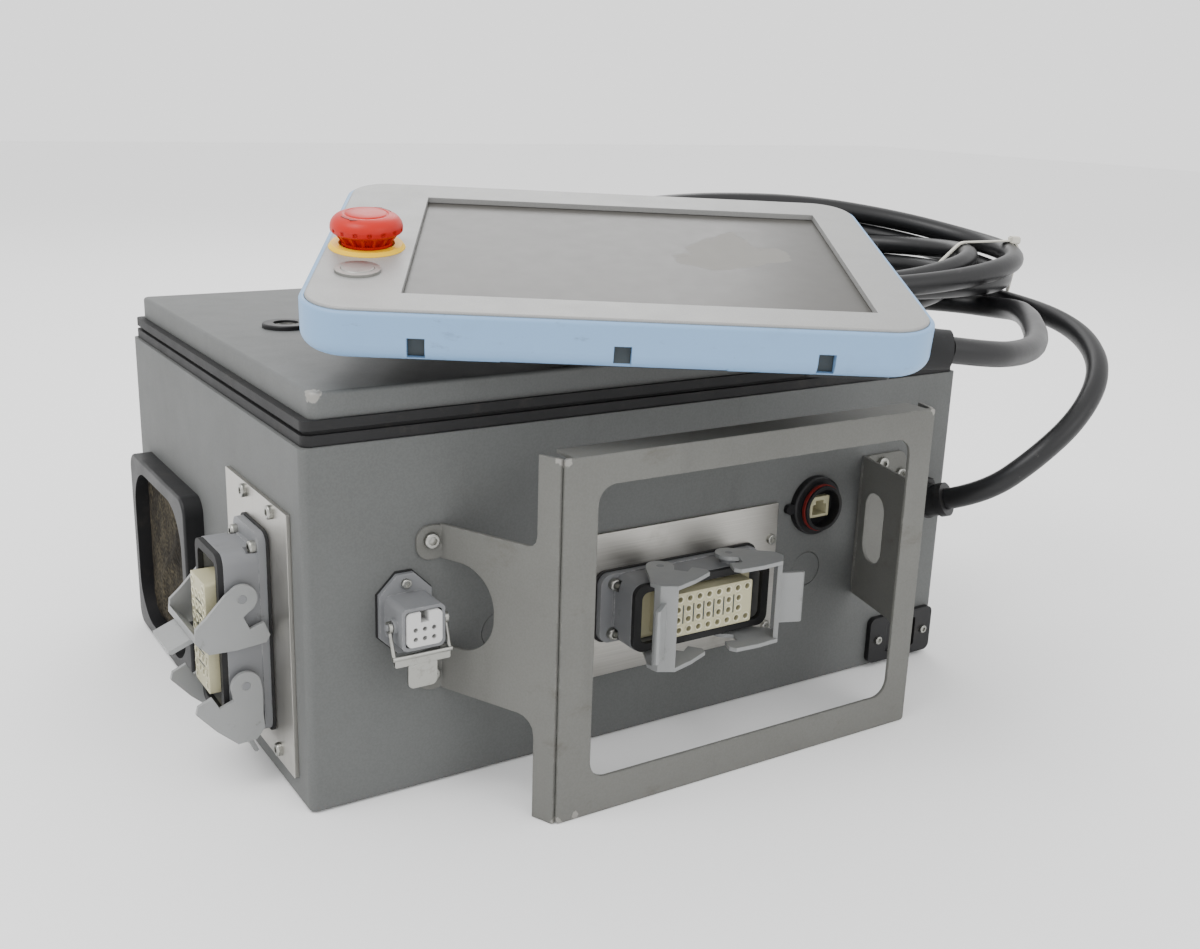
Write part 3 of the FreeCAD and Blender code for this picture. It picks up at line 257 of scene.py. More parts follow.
def plastic(name, tone, rough=0.4, grain=0.00004, dust=0.0, dirt=srgb(70, 62, 52)):
    """Moulded plastic or rubber with a fine grain, uneven gloss and a little dust."""
    m = Shader(name, rough=rough)
    fleck = m.ramp(m.noise(55.0, 5.0, 0.7), 0.52, 0.78)
    shade = tuple(0.75 * c for c in tone[:3]) + (1.0,)
    col = m.mix(m.math("MULTIPLY", m.noise(14.0, 3.0), 0.25), tone, shade)
    m.color(m.mix(m.math("MULTIPLY", fleck, dust), col, dirt))
    m.rough(m.span(m.noise(40.0, 4.0), max(rough - 0.1, 0.05), min(rough + 0.12, 1.0)))
    m.bump(m.noise(1300.0, 2.0), grain, 0.0005)
    return m.mat


def zinc(name, tone=srgb(190, 190, 184, 0.7), rough=0.28):
    """Plated or turned steel with dull stains."""
    m = Shader(name, rough=rough, metal=1.0)
    stain = m.ramp(m.noise(160.0, 4.0, 0.7), 0.5, 0.75)
    m.color(m.mix(m.math("MULTIPLY", stain, 0.35), tone, srgb(120, 112, 98)))
    m.rough(m.span(m.noise(300.0, 3.0), rough - 0.08, rough + 0.16))
    m.bump(m.noise(700.0, 2.0), 0.00002, 0.0004)
    return m.mat


def rim_blue():
    """Soft light-blue bumper with scuffs and grey hand marks."""
    m = Shader("rim_blue", rough=0.42)
    scuff = m.ramp(m.noise(1.0, 6.0, 0.7, m.mapped((60.0, 60.0, 150.0))), 0.6, 0.74)
    grime = m.ramp(m.noise(18.0, 5.0, 0.65), 0.5, 0.8)
    col = m.mix(m.math("MULTIPLY", grime, 0.3), srgb(152, 193, 236, 0.66), srgb(140, 166, 188, 0.5))
    m.color(m.mix(m.math("MULTIPLY", scuff, 0.35), col, srgb(112, 118, 118)))
    m.rough(m.span(m.noise(30.0, 4.0), 0.34, 0.55))
    m.bump(m.noise(1500.0, 2.0), 0.00003, 0.0008)
    return m.mat


def bezel_silver():
    """Silver lacquer with a fine metallic sparkle and dull thumb marks."""
    m = Shader("bezel_silver", rough=0.42, metal=0.2, specular=0.25)
    sparkle = m.ramp(m.noise(2600.0, 1.0), 0.5, 0.75)
    thumb = m.ramp(m.noise(26.0, 5.0, 0.6), 0.55, 0.8)
    col = m.mix(m.math("MULTIPLY", sparkle, 0.35), srgb(200, 200, 198, 0.5), srgb(240, 240, 238, 0.6))
    m.color(m.mix(m.math("MULTIPLY", thumb, 0.25), col, srgb(170, 168, 162, 0.5)))
    m.rough(m.span(m.noise(60.0, 4.0), 0.36, 0.54))
    m.bump(m.noise(2200.0, 1.0), 0.00001, 0.0008)
    return m.mat


SMEAR = pend_point(62, 12, -2)
SMEAR_RADIUS = 0.085


def screen_film():
    """Unlit display behind a satin film, with a pale dried smear on its right half."""
    m = Shader("screen_film", rough=0.38, specular=0.16, coat=0.02)
    m.bsdf.inputs["Coat Roughness"].default_value = 0.2
    warped = m.node("ShaderNodeVectorMath")
    warped.operation = "ADD"
    m.tree.links.new(m.mapped((26.0, 26.0, 26.0)), warped.inputs[0])
    swirl = m.node("ShaderNodeTexNoise", Vector=m.coord, Scale=14.0, Detail=4.0)
    m.tree.links.new(swirl.outputs["Color"], warped.inputs[1])
    torn = m.noise(0.9, 4.0, 0.5, warped.outputs["Vector"])
    patch = m.math("ADD", m.math("MULTIPLY", m.near(SMEAR, SMEAR_RADIUS), 0.5), m.math("MULTIPLY", torn, 0.8))
    smear = m.ramp(patch, 0.72, 0.745)
    cloud = m.math("MULTIPLY", m.noise(8.0, 3.0), 0.3)
    col = m.mix(cloud, srgb(150, 147, 140, 0.2), srgb(138, 136, 130, 0.2))
    m.color(m.mix(m.math("MULTIPLY", smear, 0.5), col, srgb(206, 203, 196, 0.45)))
    m.rough(m.math("ADD", m.math("MULTIPLY", smear, 0.25), m.span(m.noise(90.0, 3.0), 0.26, 0.36)))
    m.bump(m.noise(3000.0, 1.0), 0.000006)
    return m.mat


def foam():
    """Dirty open-cell filter foam, clogged brown, with paler dust and painted shade in its pores."""
    m = Shader("filter_foam", rough=0.95, specular=0.1)
    cell = m.node("ShaderNodeTexVoronoi", Vector=m.coord, Scale=420.0).outputs["Distance"]
    dirt = m.ramp(m.noise(24.0, 6.0, 0.7), 0.35, 0.7)
    col = m.mix(dirt, srgb(66, 60, 52), srgb(132, 122, 100))
    col = m.mix(m.ramp(m.noise(90.0, 4.0, 0.7), 0.55, 0.75), col, srgb(150, 140, 112))
    # painted shade: near-black at the cells' centres, the deepest pits of the pores
    m.color(m.mix(m.math("MULTIPLY", cell, 0.7), srgb(34, 32, 29), col))
    m.bump(m.math("ADD", cell, m.noise(160.0, 4.0)), 0.0006)
    return m.mat


def cable_jacket():
    """Black cable jacket: satin, faintly uneven, with grey rub marks."""
    m = Shader("cable_black", rough=0.36, specular=0.4)
    rub = m.ramp(m.noise(120.0, 6.0, 0.7), 0.62, 0.74)
    m.color(m.mix(m.math("MULTIPLY", rub, 0.3), srgb(30, 30, 32), srgb(130, 128, 124)))
    m.rough(m.span(m.noise(26.0, 4.0), 0.3, 0.5))
    m.bump(m.noise(240.0, 3.0), 0.00008)
    return m.mat


def estop_red():
    """Red moulded plastic, a little uneven in colour and gloss."""
    m = Shader("estop_red", rough=0.36, specular=0.25)
    fade = m.noise(40.0, 3.0)
    m.color(m.mix(m.math("MULTIPLY", fade, 0.5), srgb(212, 26, 12, 0.7), srgb(222, 44, 26, 0.7)))
    m.rough(m.span(m.noise(90.0, 3.0), 0.3, 0.46))
    m.bump(m.noise(1500.0, 2.0), 0.00003, 0.0004)
    return m.mat


# chipped corners, each a place and a radius
DOOR_CHIPS = [(V(-228, -164, 238), 0.012)]
STAND_CHIPS = [(V(-124, -243, 210), 0.011), (V(-124, -243, 0), 0.009), (V(140, -243, 209), 0.008),
               (V(-112, -243, 2), 0.006)]
MATS = {
    "grey_paint": paint("grey_paint", srgb(124, 126, 125), srgb(96, 97, 94)),
    "door_paint": paint("door_paint", srgb(128, 130, 129), srgb(100, 101, 98), DOOR_CHIPS, 0.35),
    "stand_paint": paint("stand_paint", srgb(137, 137, 132), srgb(104, 103, 98), STAND_CHIPS, 0.6, 0.5),
    "stainless": brushed("stainless", srgb(196, 193, 186, 0.6), 0),
    "stainless_side": brushed("stainless_side", srgb(196, 193, 186, 0.6), 2),
    "die_cast": cast("die_cast", srgb(168, 170, 174, 0.5)),
    "lever_grey": cast("lever_grey", srgb(180, 182, 182, 0.6), 0.45, 0.1, 0.4),
    "ivory": plastic("ivory", srgb(226, 220, 182, 0.6), 0.42, dust=0.25, dirt=srgb(150, 140, 110)),
    "white_plastic": plastic("white_plastic", srgb(232, 232, 230, 0.7), 0.4),
    "rubber": plastic("rubber", srgb(40, 40, 41), 0.62, 0.00008, 0.25, srgb(104, 98, 88)),
    "black_plastic": plastic("black_plastic", srgb(34, 34, 36), 0.45, 0.00006, 0.22, srgb(92, 86, 76)),
    "red_seal": plastic("red_seal", srgb(150, 40, 34), 0.5),
    "board": plastic("board", srgb(28, 84, 52), 0.4),
    "rim_blue": rim_blue(),
    "bezel_silver": bezel_silver(),
    "back_dark": plastic("back_dark", srgb(48, 50, 52), 0.5, 0.00008),
    "screen_film": screen_film(),
    "foam": foam(),
    "estop_red": estop_red(),
    "estop_yellow": plastic("estop_yellow", srgb(255, 205, 0, 0.9), 0.45, dust=0.12, dirt=srgb(190, 150, 40)),
    "zinc": zinc("zinc"),
    "steel_cap": zinc("steel_cap", srgb(196, 195, 190, 0.6), 0.4),
    "tie_white": plastic("tie_white", srgb(236, 232, 218, 0.75), 0.4),
    "cable_black": cable_jacket(),
    "ivory_rim": plastic("ivory_rim", srgb(236, 232, 204, 0.8), 0.4, dust=0.15, dirt=srgb(150, 140, 110)),
    "estop_mark": plastic("estop_mark", srgb(150, 34, 26), 0.5),
    # painted shade: the dark colour of the connector slots and of the rim notches' floors
    "slot_dark": plastic("slot_dark", srgb(74, 84, 88), 0.5),
}
# slots of the record whose material has another name here, and nodes that don't take their slot's
SLOT_MATS = {"lever_plastic": "lever_grey", "contact_ivory": "ivory", "contact_white": "white_plastic",
             "black_rubber": "rubber", "filter_foam": "foam", "board_green": "board"}
NODE_MATS = {"door_panel": "door_paint", "side_adapter_plate": "stainless_side", "power_button": "steel_cap",
             "power_button_ring": "steel_cap", "panel_screws": "zinc"}


def dress_nodes():
    """Gives every CAD node its material."""
    for part in frame["record"]["subparts"]:
        name, slot = part["node"], part["material_slot"]
        materials = frame["nodes"][name].data.materials
        materials.clear()
        materials.append(MATS[NODE_MATS.get(name, SLOT_MATS.get(slot, slot))])


# ---- mesh kit ------------------------------------------------------------------------------------
def new_object(name, data, body, mat):
    """Adds a piece that rides on a body and a material."""
    obj = bpy.data.objects.new(name, data)
    bpy.context.scene.collection.objects.link(obj)
    obj.data.materials.append(MATS[mat])
    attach(obj, body)
    return obj


def mesh_from(bm, name, smooth=True):
    """Turns the bmesh into a mesh and frees it."""
    mesh = bpy.data.meshes.new(name)
    bmesh.ops.recalc_face_normals(bm, faces=bm.faces)
    bm.to_mesh(mesh)
    bm.free()
    for p in mesh.polygons:
        p.use_smooth = smooth
    return mesh


def lathe(profile, steps, shape):
    """Closed solid of revolution about Z; shape(r, z, angle) gives each point's radius."""
    bm = bmesh.new()
    rings = []
    for r, z in profile:
        ring = []
        for k in range(steps):
            a = 2 * math.pi * k / steps
            q = shape(r, z, a)
            ring.append(bm.verts.new((q * math.cos(a), q * math.sin(a), z)))
        rings.append(ring)
    for low, high in zip(rings, rings[1:]):
        for k in range(steps):
            bm.faces.new((low[k], low[(k + 1) % steps], high[(k + 1) % steps], high[k]))
    bm.faces.new(rings[0][::-1])
    bm.faces.new(rings[-1])
    return bm


def rounded_box(bm, low, high, bevel):
    """Adds one box with bevelled edges, from its corners in millimetres."""
    made = bmesh.ops.create_cube(bm, size=1.0)["verts"]
    size = [b - a for a, b in zip(low, high)]
    mid = [(b + a) / 2 for a, b in zip(low, high)]
    bmesh.ops.scale(bm, vec=size, verts=made)
    bmesh.ops.translate(bm, vec=mid, verts=made)
    edges = list({e for v in made for e in v.link_edges})
    bmesh.ops.bevel(bm, geom=edges, offset=bevel, segments=2, affect="EDGES", profile=0.5)


def convex_hull(points):
    """The outline of flat points, in order round it."""
    points = sorted(points)

    def half(run):
        out = []
        for p in run:
            while len(out) > 1 and ((out[-1][0] - out[-2][0]) * (p[1] - out[-2][1])
                                    - (out[-1][1] - out[-2][1]) * (p[0] - out[-2][0])) <= 0:
                out.pop()
            out.append(p)
        return out[:-1]
    return half(points) + half(points[::-1])


# ---- pendant cable -------------------------------------------------------------------------------
CABLE_D = 0.015
FREE_ROUTE = [(226.2, -217.2, 136.3), (249, -236, 162), (281, -242, 188), (314, -230, 213), (338, -199, 229),
              (350, -158, 239)]
LEAD_ROUTE = [(298, -144, 247), (291, -172, 250), (269, -200, 250), (243, -226, 250), (214, -253, 250),
              (182, -277, 250), (150, -292, 252), (120, -299, 255)]
INNER_ROUTE = [(95, 22, 276), (135, -8, 262), (180, -34, 252), (226, -60, 248), (266, -88, 247),
               (290, -116, 247)]
COIL_CENTRE = (194.8, -22.7)
COIL_TURN = math.radians(-29.4)
COIL_A = 180.0        # half the oval's length and width, at the cable's middle
COIL_B = 108.0
COIL_BASE = 246.0     # height of the cable's middle in the lowest turn
POINTS_PER_TURN = 14
# each turn's (inset, lift) at its right end, far side, left end and near side
TURNS = [((10, 0), (6, 0), (4, 0), (14, 0)),
         ((50, 18), (2, 15.5), (4, 15.5), (32, 14)),
         ((34, 33), (9, 30), (10, 30.5), (16, 16)),
         ((6, 18), (3, 45), (6, 45), (0, 18)),
         ((0, 34), (8, 60), (30, 48))]
GLAND_END = (216.0, -192.8, 126.4)
GLAND_AIM = (0.36, -0.86, 0.35)
START_CLEAR = 0.4     # from the gland's end to the cable's
# the boot on the pendant's right, in the pendant's frame
PENDANT_RIGHT = 153.0
SHELL_INSET = 12.2
BOOT_LENGTH = 34.0
BOOT_V = -62.0
BOOT_N = -29.0
TIE_SHIFT = 0.004     # the tie's place across the coil, and how far out it takes in strands from
TIE_INNER = 0.112
TIE_GAP = 0.0006
TIE_THICKNESS = 0.0013
TIE_HALF_WIDTH = 0.0024
TIE_HEAD = (0.0075, 0.0082, 0.0056)
TIE_HEAD_BEVEL = 0.0008
TIE_HEAD_OUT = 0.001
TIE_HEAD_UP = 0.0022
TIE_HEAD_SLOPE = 0.45     # how far the head's place leans outwards from the top of the band


def coil_points():
    """The stored turns: an oval that runs round and round, inwards and up."""
    keys = [key for turn in TURNS for key in turn]
    quarters = len(keys) - 1
    count = round(quarters / 4 * POINTS_PER_TURN)
    points = []
    for i in range(count + 1):
        s = i / count * quarters
        k = min(int(s), quarters - 1)
        f = s - k
        f = f * f * (3 - 2 * f)     # eases from one key to the next
        inset = keys[k][0] * (1 - f) + keys[k + 1][0] * f
        lift = keys[k][1] * (1 - f) + keys[k + 1][1] * f
        x = (COIL_A - inset) * math.cos(s * math.pi / 2)
        y = (COIL_B - inset) * math.sin(s * math.pi / 2)
        points.append((COIL_CENTRE[0] + x * math.cos(COIL_TURN) - y * math.sin(COIL_TURN),
                       COIL_CENTRE[1] + x * math.sin(COIL_TURN) + y * math.cos(COIL_TURN), COIL_BASE + lift))
    return points


def spline_points(obj):
    """The smooth line of a curve, as its own points."""
    bare = obj.copy()
    bare.data = obj.data.copy()
    bare.data.bevel_depth = 0.0
    bpy.context.scene.collection.objects.link(bare)
    dg = bpy.context.evaluated_depsgraph_get()
    mesh = bpy.data.meshes.new_from_object(bare.evaluated_get(dg))
    points = [v.co.copy() for v in mesh.vertices]
    bpy.data.objects.remove(bare)
    bpy.data.meshes.remove(mesh)
    return points


def cable():
    """The whole cable as one smooth tube, from the gland to the pendant's boot."""
    start = Vector(GLAND_END) + Vector(GLAND_AIM).normalized() * START_CLEAR
    boot_end = pend_point(PENDANT_RIGHT - SHELL_INSET + BOOT_LENGTH, BOOT_V, BOOT_N) / MM
    route = [start, *FREE_ROUTE, *coil_points(), *INNER_ROUTE, *LEAD_ROUTE, boot_end]
    curve = bpy.data.curves.new("pendant_cable", "CURVE")
    curve.dimensions = "3D"
    spline = curve.splines.new("NURBS")
    spline.points.add(len(route) - 1)
    for point, at in zip(spline.points, route):
        point.co = (*(Vector(at) * MM), 1.0)
    spline.order_u = 3
    spline.use_endpoint_u = True
    spline.resolution_u = 10
    curve.bevel_depth = CABLE_D / 2
    curve.bevel_resolution = 6
    curve.use_fill_caps = True
    line = bpy.data.objects.new("cable_line", curve)
    bpy.context.scene.collection.objects.link(line)
    path = spline_points(line)
    mesh = bpy.data.meshes.new_from_object(line.evaluated_get(bpy.context.evaluated_depsgraph_get()))
    mesh.materials.clear()
    bpy.data.objects.remove(line)
    for p in mesh.polygons:
        p.use_smooth = True
    obj = bpy.data.objects.new("pendant_cable", mesh)
    bpy.context.scene.collection.objects.link(obj)
    obj.data.materials.append(MATS["cable_black"])
    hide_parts("cable_free_loop", "cable_coil", "cable_pendant_lead")
    tie = cable_tie(path)
    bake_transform(obj)


def cable_tie(points):
    """Nylon tie pulled round the outer strands at the coil's right end: band and head."""
    u = Vector((math.cos(COIL_TURN), math.sin(COIL_TURN), 0.0))
    w = Vector((-math.sin(COIL_TURN), math.cos(COIL_TURN), 0.0))
    centre = V(*COIL_CENTRE, 0)
    hits = []
    for p, q in zip(points, points[1:]):
        a, b = (p - centre).dot(w) - TIE_SHIFT, (q - centre).dot(w) - TIE_SHIFT
        if a * b < 0:
            at = p.lerp(q, a / (a - b))
            if (at - centre).dot(u) > TIE_INNER:
                hits.append(((at - centre).dot(u), at.z))
    ring = []
    gap = CABLE_D / 2 + TIE_GAP
    for across, up in hits:
        ring += [(across + gap * math.cos(k * math.pi / 12), up + gap * math.sin(k * math.pi / 12))
                 for k in range(24)]
    hull = convex_hull(ring)
    bm = bmesh.new()
    mid = Vector((sum(p[0] for p in hull) / len(hull), sum(p[1] for p in hull) / len(hull)))
    loops = []
    for across, up in hull:
        out = (Vector((across, up)) - mid).normalized() * TIE_THICKNESS
        corners = []
        for push, shift in ((0, -1), (0, 1), (1, 1), (1, -1)):
            at = centre + u * (across + out.x * push) + w * (TIE_SHIFT + TIE_HALF_WIDTH * shift)
            corners.append(bm.verts.new((at.x, at.y, up + out.y * push)))
        loops.append(corners)
    for a, b in zip(loops, loops[1:] + loops[:1]):
        for i in range(4):
            bm.faces.new((a[i], a[(i + 1) % 4], b[(i + 1) % 4], b[i]))
    high = max(hull, key=lambda p: p[1] + TIE_HEAD_SLOPE * p[0])
    head = (centre + u * (high[0] + TIE_HEAD_OUT) + w * TIE_SHIFT
            + Vector((0, 0, high[1] + TIE_HEAD_UP)))
    made = bmesh.ops.create_cube(bm, size=1.0)["verts"]
    bmesh.ops.scale(bm, vec=TIE_HEAD, verts=made)
    edges = list({e for v in made for e in v.link_edges})
    bmesh.ops.bevel(bm, geom=edges, offset=TIE_HEAD_BEVEL, segments=2, affect="EDGES")
    fresh = [v for v in bm.verts if v.is_valid and not any(v in loop for loop in loops)]
    turn = Matrix.Rotation(COIL_TURN, 4, "Z")
    bmesh.ops.transform(bm, matrix=Matrix.Translation(head) @ turn, verts=fresh)
    mesh = mesh_from(bm, "cable_tie_band", smooth=False)
    obj = new_object("cable_tie_band", mesh, "door", "tie_white")
    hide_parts("cable_tie")
    return obj


# ---- detail pieces -------------------------------------------------------------------------------
ESTOP = (-149.7, -16.0)
RIBS = 16
STEPS_PER_RIB = 12
HEAD_PROFILE = [(8.5, 2.8), (13.9, 2.8), (14.2, 3.1), (14.2, 4.6), (14.25, 4.7), (17.9, 9.7), (18.0, 9.8),
                (19.5, 10.6), (20.15, 11.4), (20.2, 11.8), (20.2, 11.9), (20.2, 13.4), (20.2, 13.5),
                (20.05, 14.4), (19.6, 15.8), (18.7, 17.3), (17.2, 18.7), (15.4, 19.6), (13.2, 20.2),
                (12.5, 20.3), (12.1, 19.9), (11.7, 19.9), (11.3, 20.4), (10.4, 20.75), (5.0, 20.95),
                (0.4, 21.0)]
# low and high edge, first and last step of a rib's pitch, and depth: the windows, then the notches
HEAD_CUTS = ((4.65, 9.75, 2, 9, 2.0), (11.85, 13.45, 5, 7, 0.9))
SMOOTH_ABOVE = 13.6
MARK_RADIUS = 14.3
MARK_START = 28           # degrees
MARK_ANGLES = range(0, 55, 5)
MARK_HEIGHTS = (19.2, 20.05)
MARK_HALF = 0.55
ARROW_FROM = 7            # the step where a mark's arrowhead starts
ARROW_HALF = 1.5
ARROW_STEPS = 3.2


def estop_shape(r, z, angle):
    """Windows between the skirt's ribs and small notches under the widest edge."""
    step = round(angle / (2 * math.pi) * RIBS * STEPS_PER_RIB) % STEPS_PER_RIB
    for low, high, first, last, depth in HEAD_CUTS:
        if low < z < high and first <= step <= last:
            return r - depth
    return r


def estop_head():
    """Red mushroom head of the emergency stop."""
    bm = lathe(HEAD_PROFILE, RIBS * STEPS_PER_RIB, estop_shape)
    bmesh.ops.scale(bm, vec=(MM, MM, MM), verts=bm.verts)
    mesh = mesh_from(bm, "estop_mushroom", smooth=False)
    for p in mesh.polygons:
        p.use_smooth = p.center.z > SMOOTH_ABOVE * MM
    mesh.transform(pend_matrix(*ESTOP))
    obj = new_object("estop_mushroom", mesh, "estop_head", "estop_red")
    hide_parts("estop_head")


def estop_turn_marks():
    """Two raised arrows on the head that show which way it twists."""
    bm = bmesh.new()
    for side in (0, 1):
        start = math.radians(MARK_START + 180 * side)
        rings = []
        for k, t in enumerate(MARK_ANGLES):
            a = start + math.radians(t)
            half = MARK_HALF if k < ARROW_FROM else ARROW_HALF * (1 - (k - ARROW_FROM) / ARROW_STEPS)
            rings.append([bm.verts.new(((MARK_RADIUS + d * half) * math.cos(a),
                                        (MARK_RADIUS + d * half) * math.sin(a), z))
                          for z in MARK_HEIGHTS for d in (-1, 1)])
        for p, q in zip(rings, rings[1:]):
            for i, j in ((0, 1), (1, 3), (3, 2), (2, 0)):
                bm.faces.new((p[i], p[j], q[j], q[i]))
        for end in (rings[0], rings[-1]):
            bm.faces.new((end[0], end[1], end[3], end[2]))
    bmesh.ops.scale(bm, vec=(MM, MM, MM), verts=bm.verts)
    mesh = mesh_from(bm, "estop_turn_marks", smooth=False)
    mesh.transform(pend_matrix(*ESTOP))
    new_object("estop_turn_marks", mesh, "estop_head", "estop_mark")


HOLE_RADIUS = 1.8
RIM_WIDTH = 0.85
RIM_HEIGHT = 0.5
RIM_SUNK = 0.3            # how deep a rim starts inside the insert
RIM_TAPER = 0.15
RIM_CHAMFER = 0.3
OUTER_PITCH = 58.0 / 8
INNER_PITCH = 7.6
ROW_PITCH = 6.6
# each row's place in row pitches, its holes and their pitch
CONTACT_ROWS = ((-1.5, 9, OUTER_PITCH), (-0.5, 7, INNER_PITCH), (0.5, 7, INNER_PITCH), (1.5, 9, OUTER_PITCH))
SLOTS = 6
SLOT_HALF_WIDTH = 0.45
SLOT_HALF_HEIGHT = 6.0
SLOT_FLOOR = -0.2
SLOT_TOP = 0.14
SLOT_BEVEL = 0.04
FRONT_TURN = Matrix(((1, 0, 0), (0, 0, 1), (0, -1, 0)))
SIDE_TURN = Matrix(((0, 0, 1), (0, 1, 0), (-1, 0, 0)))
FRONT_CENTRE = (0.0035, 0.090)      # x and z
SIDE_CENTRE = (-0.0996, 0.0905)     # y and z


def add_ring(bm, x, y, inner, outer, height, steps=20):
    """Adds one raised ring round a hole, its mouth chamfered."""
    loops = []
    section = ((inner, -RIM_SUNK), (outer, -RIM_SUNK), (outer - RIM_TAPER, height),
               (inner + RIM_CHAMFER, height), (inner, height - RIM_CHAMFER))
    for r, z in section:
        loops.append([bm.verts.new((x + r * math.cos(2 * math.pi * k / steps),
                                    y + r * math.sin(2 * math.pi * k / steps), z)) for k in range(steps)])
    for a, b in zip(loops, loops[1:] + loops[:1]):
        for k in range(steps):
            bm.faces.new((a[k], a[(k + 1) % steps], b[(k + 1) % steps], b[k]))


def contact_details(side, turn, place):
    """Raised rims round the contact holes, and dark slabs of painted shade for the slots between the inner
    columns.
    """
    rims = bmesh.new()
    for row, count, pitch in CONTACT_ROWS:
        for k in range(count):
            add_ring(rims, (k - (count - 1) / 2) * pitch, row * ROW_PITCH, HOLE_RADIUS,
                     HOLE_RADIUS + RIM_WIDTH, RIM_HEIGHT)
    # each slot is a thin dark slab across the face, painted shade where the slot's hollow is
    slots = bmesh.new()
    for k in range(SLOTS):
        x = (k - (SLOTS - 1) / 2) * INNER_PITCH
        rounded_box(slots, (x - SLOT_HALF_WIDTH, -SLOT_HALF_HEIGHT, SLOT_FLOOR),
                    (x + SLOT_HALF_WIDTH, SLOT_HALF_HEIGHT, SLOT_TOP), SLOT_BEVEL)
    for bm, what, mat in ((rims, "contact_rims", "ivory_rim"), (slots, "contact_slots", "slot_dark")):
        bmesh.ops.scale(bm, vec=(MM, MM, MM), verts=bm.verts)
        mesh = mesh_from(bm, side + what, smooth=False)
        mesh.transform(Matrix.Translation(place) @ turn.transposed().to_4x4())
        new_object(side + what, mesh, "enclosure", mat)


def both_contact_details():
    """The details of the front and the side insert, on their outer faces."""
    front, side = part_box("front_contact_insert"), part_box("side_contact_insert")
    contact_details("front_", FRONT_TURN, Vector((FRONT_CENTRE[0], front[0].y, FRONT_CENTRE[1])))
    contact_details("side_", SIDE_TURN, Vector((side[0].x, *SIDE_CENTRE)))


# the notches' places along the rim, and their floors' half width, depths, heights and bevel
NOTCHES = (-114.0, -10.5, 93.5)
NOTCH_HALF_WIDTH = 4.4
NOTCH_V = (-115.6, -114.6)
NOTCH_N = (-23.4, -12.4)
NOTCH_BEVEL = 0.2


def rim_slot_pads():
    """Dark pads on the floors of the three notches in the pendant's rim: painted shade in the notches."""
    bm = bmesh.new()
    for u in NOTCHES:
        rounded_box(bm, (u - NOTCH_HALF_WIDTH, NOTCH_V[0], NOTCH_N[0]),
                    (u + NOTCH_HALF_WIDTH, NOTCH_V[1], NOTCH_N[1]), NOTCH_BEVEL)
    bmesh.ops.scale(bm, vec=(MM, MM, MM), verts=bm.verts)
    mesh = mesh_from(bm, "rim_slot_pads", smooth=False)
    mesh.transform(pend_matrix())
    new_object("rim_slot_pads", mesh, "door", "slot_dark")


def mat_fullness(a, b):
    """Share of the mat's depth at a place of its face, where a and b run from 0 to 1."""
    side = min(a, 1 - a, b, 1 - b)
    rise = min(side / 0.05, 1.0) ** 0.5
    fold = abs(a - 0.5 - 0.2 * math.sin(2 * math.pi * b)) * (1 + abs(b - 0.5))
    lump = (0.5 + 0.22 * math.sin(23 * a + 9 * b) * math.sin(17 * b - 5 * a)
            + 0.1 * math.sin(61 * a) * math.sin(53 * b))
    height = 0.25 + 0.3 * lump + 0.42 * max(0.0, 1 - fold / 0.11)
    return 0.15 + 0.83 * rise * min(height, 1.0)


def filter_mat():
    """Dirty filter mat: a soft pad with lumps and one raised S-shaped fold."""
    low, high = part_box("fan_filter_mat")
    cols, rows = 70, 66
    bm = bmesh.new()
    grid = []
    for j in range(rows + 1):
        line = []
        for i in range(cols + 1):
            a, b = i / cols, j / rows
            x = high.x - (high.x - low.x) * mat_fullness(a, b)
            line.append(bm.verts.new((x, low.y + (high.y - low.y) * a, low.z + (high.z - low.z) * b)))
        grid.append(line)
    for j in range(rows):
        for i in range(cols):
            bm.faces.new((grid[j][i], grid[j][i + 1], grid[j + 1][i + 1], grid[j + 1][i]))
    back = [[bm.verts.new((high.x, v.co.y, v.co.z)) for v in line] for line in (grid[0], grid[-1])]
    sides = [[bm.verts.new((high.x, line[e].co.y, line[e].co.z)) for line in grid[1:-1]] for e in (0, -1)]
    left = [back[0][0], *sides[0], back[1][0]]
    right = [back[0][-1], *sides[1], back[1][-1]]
    walls = ((grid[0], back[0]), (grid[-1], back[1]),
             ([line[0] for line in grid], left), ([line[-1] for line in grid], right))
    for front, rear in walls:
        for k in range(len(front) - 1):
            bm.faces.new((front[k], front[k + 1], rear[k + 1], rear[k]))
    bm.faces.new([*back[0], *right[1:], *back[1][::-1][1:], *left[::-1][1:-1]])
    mesh = mesh_from(bm, "filter_mat")
    obj = new_object("filter_mat", mesh, "enclosure", "foam")
    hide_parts("fan_filter_mat")


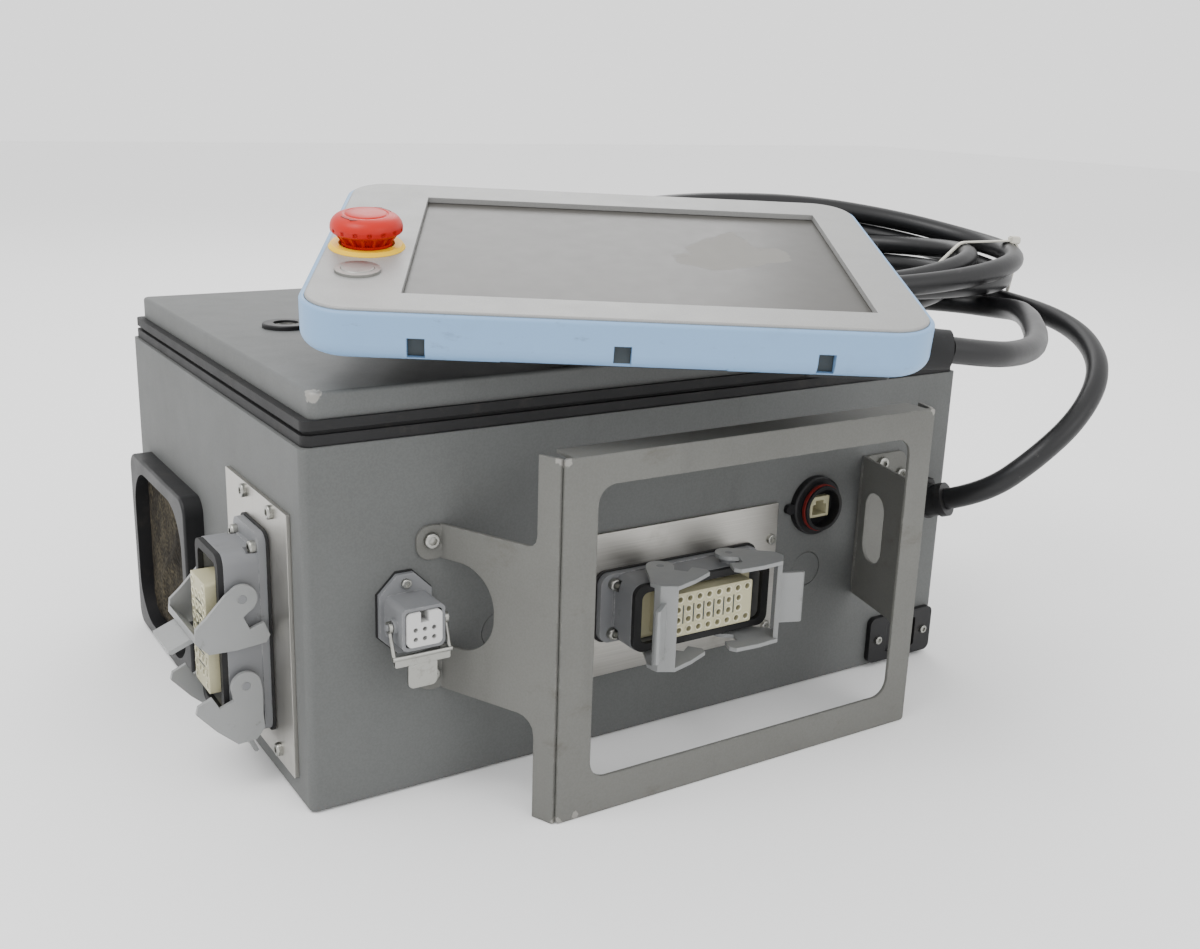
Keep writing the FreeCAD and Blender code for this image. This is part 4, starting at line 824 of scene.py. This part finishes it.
# ---- floor, light and camera ---------------------------------------------------------------------
# name, place, target, size and power
LIGHTS = (("key", (-1.1, -0.3, 1.9), (0.0, -0.1, 0.2), 0.9, 22.0),
          ("fill", (0.6, -2.0, 1.3), (0.0, -0.1, 0.1), 1.2, 6.0),
          ("back", (0.9, 1.6, 1.7), (0.0, 0.0, 0.2), 1.2, 16.0))
WORLD_STRENGTH = 1.6
FLOOR_SIZE = 14
FLOOR_DROP = 0.0005       # keeps the floor just under the object
CAMERA_AT = (-0.4602, -0.7980, 0.3940)
CAMERA_TURN = (73.540, -1.851, -32.278)     # degrees
CAMERA_LENS = 39.69


def floor_and_light():
    """A pale floor, white surroundings and three soft lights."""
    bpy.ops.mesh.primitive_plane_add(size=FLOOR_SIZE, location=(0, 0, -FLOOR_DROP))
    floor = bpy.context.object
    floor.name = "floor"
    pale = Shader("floor_pale", rough=0.75, specular=0.2)
    pale.color((0.92, 0.92, 0.92, 1.0))
    floor.data.materials.append(pale.mat)
    world = bpy.data.worlds.new("studio")
    bpy.context.scene.world = world
    world.use_nodes = True
    background = world.node_tree.nodes["Background"]
    background.inputs["Color"].default_value = (1.0, 1.0, 1.0, 1.0)
    background.inputs["Strength"].default_value = WORLD_STRENGTH
    for name, at, target, size, power in LIGHTS:
        light = bpy.data.lights.new(name, "AREA")
        light.size = size
        light.energy = power
        obj = bpy.data.objects.new(name, light)
        bpy.context.scene.collection.objects.link(obj)
        obj.location = at
        obj.rotation_euler = (Vector(target) - Vector(at)).to_track_quat("-Z", "Y").to_euler()


def camera():
    """The main view's camera."""
    data = bpy.data.cameras.new("camera")
    data.lens = CAMERA_LENS
    data.sensor_width = 36.0
    data.clip_start = 0.01
    obj = bpy.data.objects.new("camera", data)
    bpy.context.scene.collection.objects.link(obj)
    obj.location = CAMERA_AT
    obj.rotation_euler = [math.radians(a) for a in CAMERA_TURN]
    bpy.context.scene.camera = obj


dress_nodes()
cable()
estop_head()
estop_turn_marks()
both_contact_details()
rim_slot_pads()
filter_mat()
floor_and_light()
camera()
